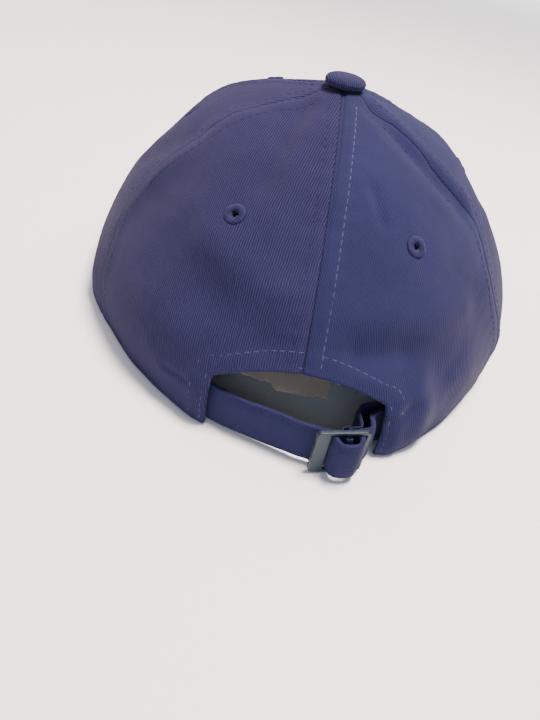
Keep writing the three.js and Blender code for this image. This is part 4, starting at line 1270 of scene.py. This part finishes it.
# name, place, size in metres, power in watts, tint and the place it shines at
LIGHTS = (
    ("key", (-0.18, 0.03, 0.95), 0.28, 30.0, "#ffeae4", CAP_MIDDLE),
    ("fill", (0.1, 0.95, 0.35), 0.6, 3.0, "#d0e4ff", CAP_MIDDLE),
    ("front", (0.6, -0.7, 0.6), 0.7, 6.0, "#ffdcf0", CAP_MIDDLE),
    ("far", (-1.1, -1.9, 1.3), 1.2, 45.0, "#ffffff", (-1.3, -2.1, 0.0)),
)
SKY_COLOUR = "#dfe3ea"
SKY_STRENGTH = 0.46
CAMERA_PLACE = (21.5, 252.0, 145.0)
CAMERA_TURN = 4.0
CAMERA_DROP = 37.5
CAMERA_ROLL = 12.2
FOCAL_PIXELS = 620.0
PICTURE_HEIGHT = 720.0
SENSOR_MM = 36.0


def lay_floor():
    """Pale floor whose far side curves up, so that no horizon shows."""
    mesh = bpy.data.meshes.new("floor")
    bm = bmesh.new()
    bmesh.ops.create_grid(bm, x_segments=1, y_segments=1, size=FLOOR_HALF)
    bmesh.ops.translate(bm, vec=(0, 0, -FLOOR_DROP), verts=bm.verts)
    far = [edge for edge in bm.edges if all(vertex.co.y < -1 for vertex in edge.verts)]
    raised = bmesh.ops.extrude_edge_only(bm, edges=far)["geom"]
    top = [item for item in raised if isinstance(item, bmesh.types.BMVert)]
    bmesh.ops.translate(bm, vec=(0, 0, SWEEP_HEIGHT), verts=top)
    bmesh.ops.bevel(
        bm, geom=far, offset=SWEEP_RADIUS, offset_type="OFFSET", segments=16, profile=0.5,
        affect="EDGES", material=-1,
    )
    for face in bm.faces:
        face.smooth = True
    bm.to_mesh(mesh)
    bm.free()
    # matt paper: an even pale ground with soft shadows
    mesh.materials.append(new_material("pale_paper", linear(tone_of("floor")), 0.9)[0])
    floor = bpy.data.objects.new("floor", mesh)
    bpy.context.scene.collection.objects.link(floor)


def set_camera():
    """The camera at the photograph's viewing angle."""
    turn, drop, roll = (math.radians(v) for v in (CAMERA_TURN, CAMERA_DROP, CAMERA_ROLL))
    level = Vector((math.sin(turn), math.cos(turn), 0))
    back = level * math.cos(drop) + Vector((0, 0, math.sin(drop)))
    right = (-back).cross(Vector((0, 0, 1))).normalized()
    up = right.cross(-back).normalized()
    right_rolled = right * math.cos(roll) + up * math.sin(roll)
    up_rolled = -right * math.sin(roll) + up * math.cos(roll)
    data = bpy.data.cameras.new("camera")
    data.sensor_width = SENSOR_MM
    data.lens = FOCAL_PIXELS / PICTURE_HEIGHT * SENSOR_MM
    data.clip_start = 0.01
    camera = bpy.data.objects.new("camera", data)
    place = Matrix((right_rolled, up_rolled, back)).transposed().to_4x4()
    place.translation = Vector(np.array(CAMERA_PLACE) + SHIFT) / 1000
    camera.matrix_world = place
    bpy.context.scene.collection.objects.link(camera)
    bpy.context.scene.camera = camera


def set_lights():
    """Soft studio lights under a pale sky."""
    scene = bpy.context.scene
    world = bpy.data.worlds.new("studio")
    world.use_nodes = True
    sky = world.node_tree.nodes["Background"]
    sky.inputs["Color"].default_value = linear(SKY_COLOUR)
    sky.inputs["Strength"].default_value = SKY_STRENGTH
    scene.world = world
    for name, place, size, power, tint, target in LIGHTS:
        data = bpy.data.lights.new(name, "AREA")
        data.size = size
        data.energy = power
        data.color = linear(tint)[:3]
        light = bpy.data.objects.new(name, data)
        away = Vector(place) - Vector(target)
        turned = away.to_track_quat("Z", "Y").to_matrix().to_4x4()
        light.matrix_world = Matrix.Translation(Vector(place)) @ turned
        scene.collection.objects.link(light)


# add-on
class CapSizes(bpy.types.PropertyGroup):
    """Sizes a sewer would change."""

    cloth_wall: bpy.props.FloatProperty(
        name="Cloth wall", description="Thickness of a panel", default=0.0016, unit="LENGTH")
    stitch_pitch: bpy.props.FloatProperty(
        name="Stitch pitch", description="Spacing of the stitches", default=0.0028, unit="LENGTH")
    stitch_length: bpy.props.FloatProperty(
        name="Stitch length", description="Length of one stitch", default=0.0023, unit="LENGTH")
    thread_radius: bpy.props.FloatProperty(
        name="Thread radius", description="Half the thread's thickness", default=0.00026,
        unit="LENGTH")
    button_radius: bpy.props.FloatProperty(
        name="Button radius", description="Half the button's width", default=0.0074, unit="LENGTH")


def colour_property(name, description, hex_colour):
    """A colour in the sidebar, set from its sRGB hex value."""
    values = tuple(int(hex_colour[index:index + 2], 16) / 255 for index in (1, 3, 5))
    return bpy.props.FloatVectorProperty(
        name=name, description=description, default=values, subtype="COLOR_GAMMA",
        min=0, max=1, size=3)


class CapColours(bpy.types.PropertyGroup):
    """Colours of the cloth, thread, metal and floor."""

    twill: colour_property("Twill", "Washed indigo twill", "#252545")
    # set darker and bluer than the washed twill as painted shade of the right side
    brushed: colour_property("Brushed twill", "Twill whose wales lie flat", "#212344")
    thread: colour_property("Thread", "Topstitching that shows", "#3a3b5f")
    tonal: colour_property("Tonal thread", "Topstitching near the cloth's colour", "#232241")
    eyelet: colour_property("Eyelets", "Wound eyelet thread", "#26264a")
    band: colour_property("Band", "Sweatband cotton", "#191a2b")
    metal: colour_property("Buckle", "Slate paint on the buckle", "#172b36")
    # the label's grey-beige, darkened as painted shade from the crown above it
    label: colour_property("Label", "Blank care label", "#4c4a46")
    floor: colour_property("Floor", "Pale studio floor", "#fbfbfb")


class CAP_OT_panels(bpy.types.Operator):
    """Cut and sew the six crown panels"""

    bl_idname = "cap.panels"
    bl_label = "Crown panels"

    def execute(self, context):
        turns = EYELET_TURNS
        sew_panel("panel_back_left", 0.0, SIDE_SEAM_LEFT, turns["back"], 1)
        sew_panel("panel_side_left", SIDE_SEAM_LEFT, FRONT_SEAM_TURN, turns["side"])
        sew_panel("panel_front_left", FRONT_SEAM_TURN, 180.0, turns["front"])
        sew_panel("panel_front_right", -180.0, -FRONT_SEAM_TURN, -turns["front"])
        sew_panel("panel_side_right", -FRONT_SEAM_TURN, SIDE_SEAM_RIGHT, -turns["side"])
        sew_panel("panel_back_right", SIDE_SEAM_RIGHT, 0.0, -turns["back"], -1)
        return {"FINISHED"}


class CAP_OT_stitches(bpy.types.Operator):
    """Topstitch the seams, the arch and the rim"""

    bl_idname = "cap.stitches"
    bl_label = "Crown stitching"

    def execute(self, context):
        sew_panel_stitches()
        return {"FINISHED"}


class CAP_OT_eyelets(bpy.types.Operator):
    """Work the six sewn eyelets"""

    bl_idname = "cap.eyelets"
    bl_label = "Eyelets"

    def execute(self, context):
        for place, turn in EYELET_TURNS.items():
            work_eyelet(place + "_left", turn)
            work_eyelet(place + "_right", -turn)
        return {"FINISHED"}


class CAP_OT_button(bpy.types.Operator):
    """Cover the top button"""

    bl_idname = "cap.button"
    bl_label = "Button"

    def execute(self, context):
        cover_button()
        return {"FINISHED"}


class CAP_OT_brim(bpy.types.Operator):
    """Sew the curved brim"""

    bl_idname = "cap.brim"
    bl_label = "Brim"

    def execute(self, context):
        sew_brim()
        return {"FINISHED"}


class CAP_OT_band(bpy.types.Operator):
    """Sew the sweatband and the care label inside"""

    bl_idname = "cap.band"
    bl_label = "Sweatband and label"

    def execute(self, context):
        sew_sweatband()
        sew_label()
        return {"FINISHED"}


class CAP_OT_strap(bpy.types.Operator):
    """Sew the strap and the tab and cast the buckle"""

    bl_idname = "cap.strap"
    bl_label = "Strap and buckle"

    def execute(self, context):
        sew_strap()
        sew_tab()
        cast_buckle()
        return {"FINISHED"}


class CAP_OT_stage(bpy.types.Operator):
    """Lay the floor and set the lights and camera"""

    bl_idname = "cap.stage"
    bl_label = "Studio"

    def execute(self, context):
        lay_floor()
        set_camera()
        set_lights()
        return {"FINISHED"}


class CAP_PT_tools(bpy.types.Panel):
    """Sizes, colours and steps of the cap"""

    bl_idname = "CAP_PT_tools"
    bl_label = "Baseball cap"
    bl_space_type = "VIEW_3D"
    bl_region_type = "UI"
    bl_category = "Cap"

    def draw(self, context):
        for group in (context.scene.cap_sizes, context.scene.cap_colours):
            for key in group.bl_rna.properties.keys():
                if key not in ("rna_type", "name"):
                    self.layout.prop(group, key)
        for operator in OPERATORS:
            self.layout.operator(operator.bl_idname)


OPERATORS = (
    CAP_OT_panels, CAP_OT_stitches, CAP_OT_eyelets, CAP_OT_button,
    CAP_OT_brim, CAP_OT_band, CAP_OT_strap, CAP_OT_stage,
)
CLASSES = (CapSizes, CapColours) + OPERATORS + (CAP_PT_tools,)


def register():
    for cls in CLASSES:
        bpy.utils.register_class(cls)
    bpy.types.Scene.cap_sizes = bpy.props.PointerProperty(type=CapSizes)
    bpy.types.Scene.cap_colours = bpy.props.PointerProperty(type=CapColours)


def unregister():
    del bpy.types.Scene.cap_sizes
    del bpy.types.Scene.cap_colours
    for cls in reversed(CLASSES):
        bpy.utils.unregister_class(cls)


def main():
    register()
    bpy.ops.cap.panels()
    bpy.ops.cap.stitches()
    bpy.ops.cap.eyelets()
    bpy.ops.cap.button()
    bpy.ops.cap.brim()
    bpy.ops.cap.band()
    bpy.ops.cap.strap()
    bpy.ops.cap.stage()


if __name__ == "__main__":
    main()
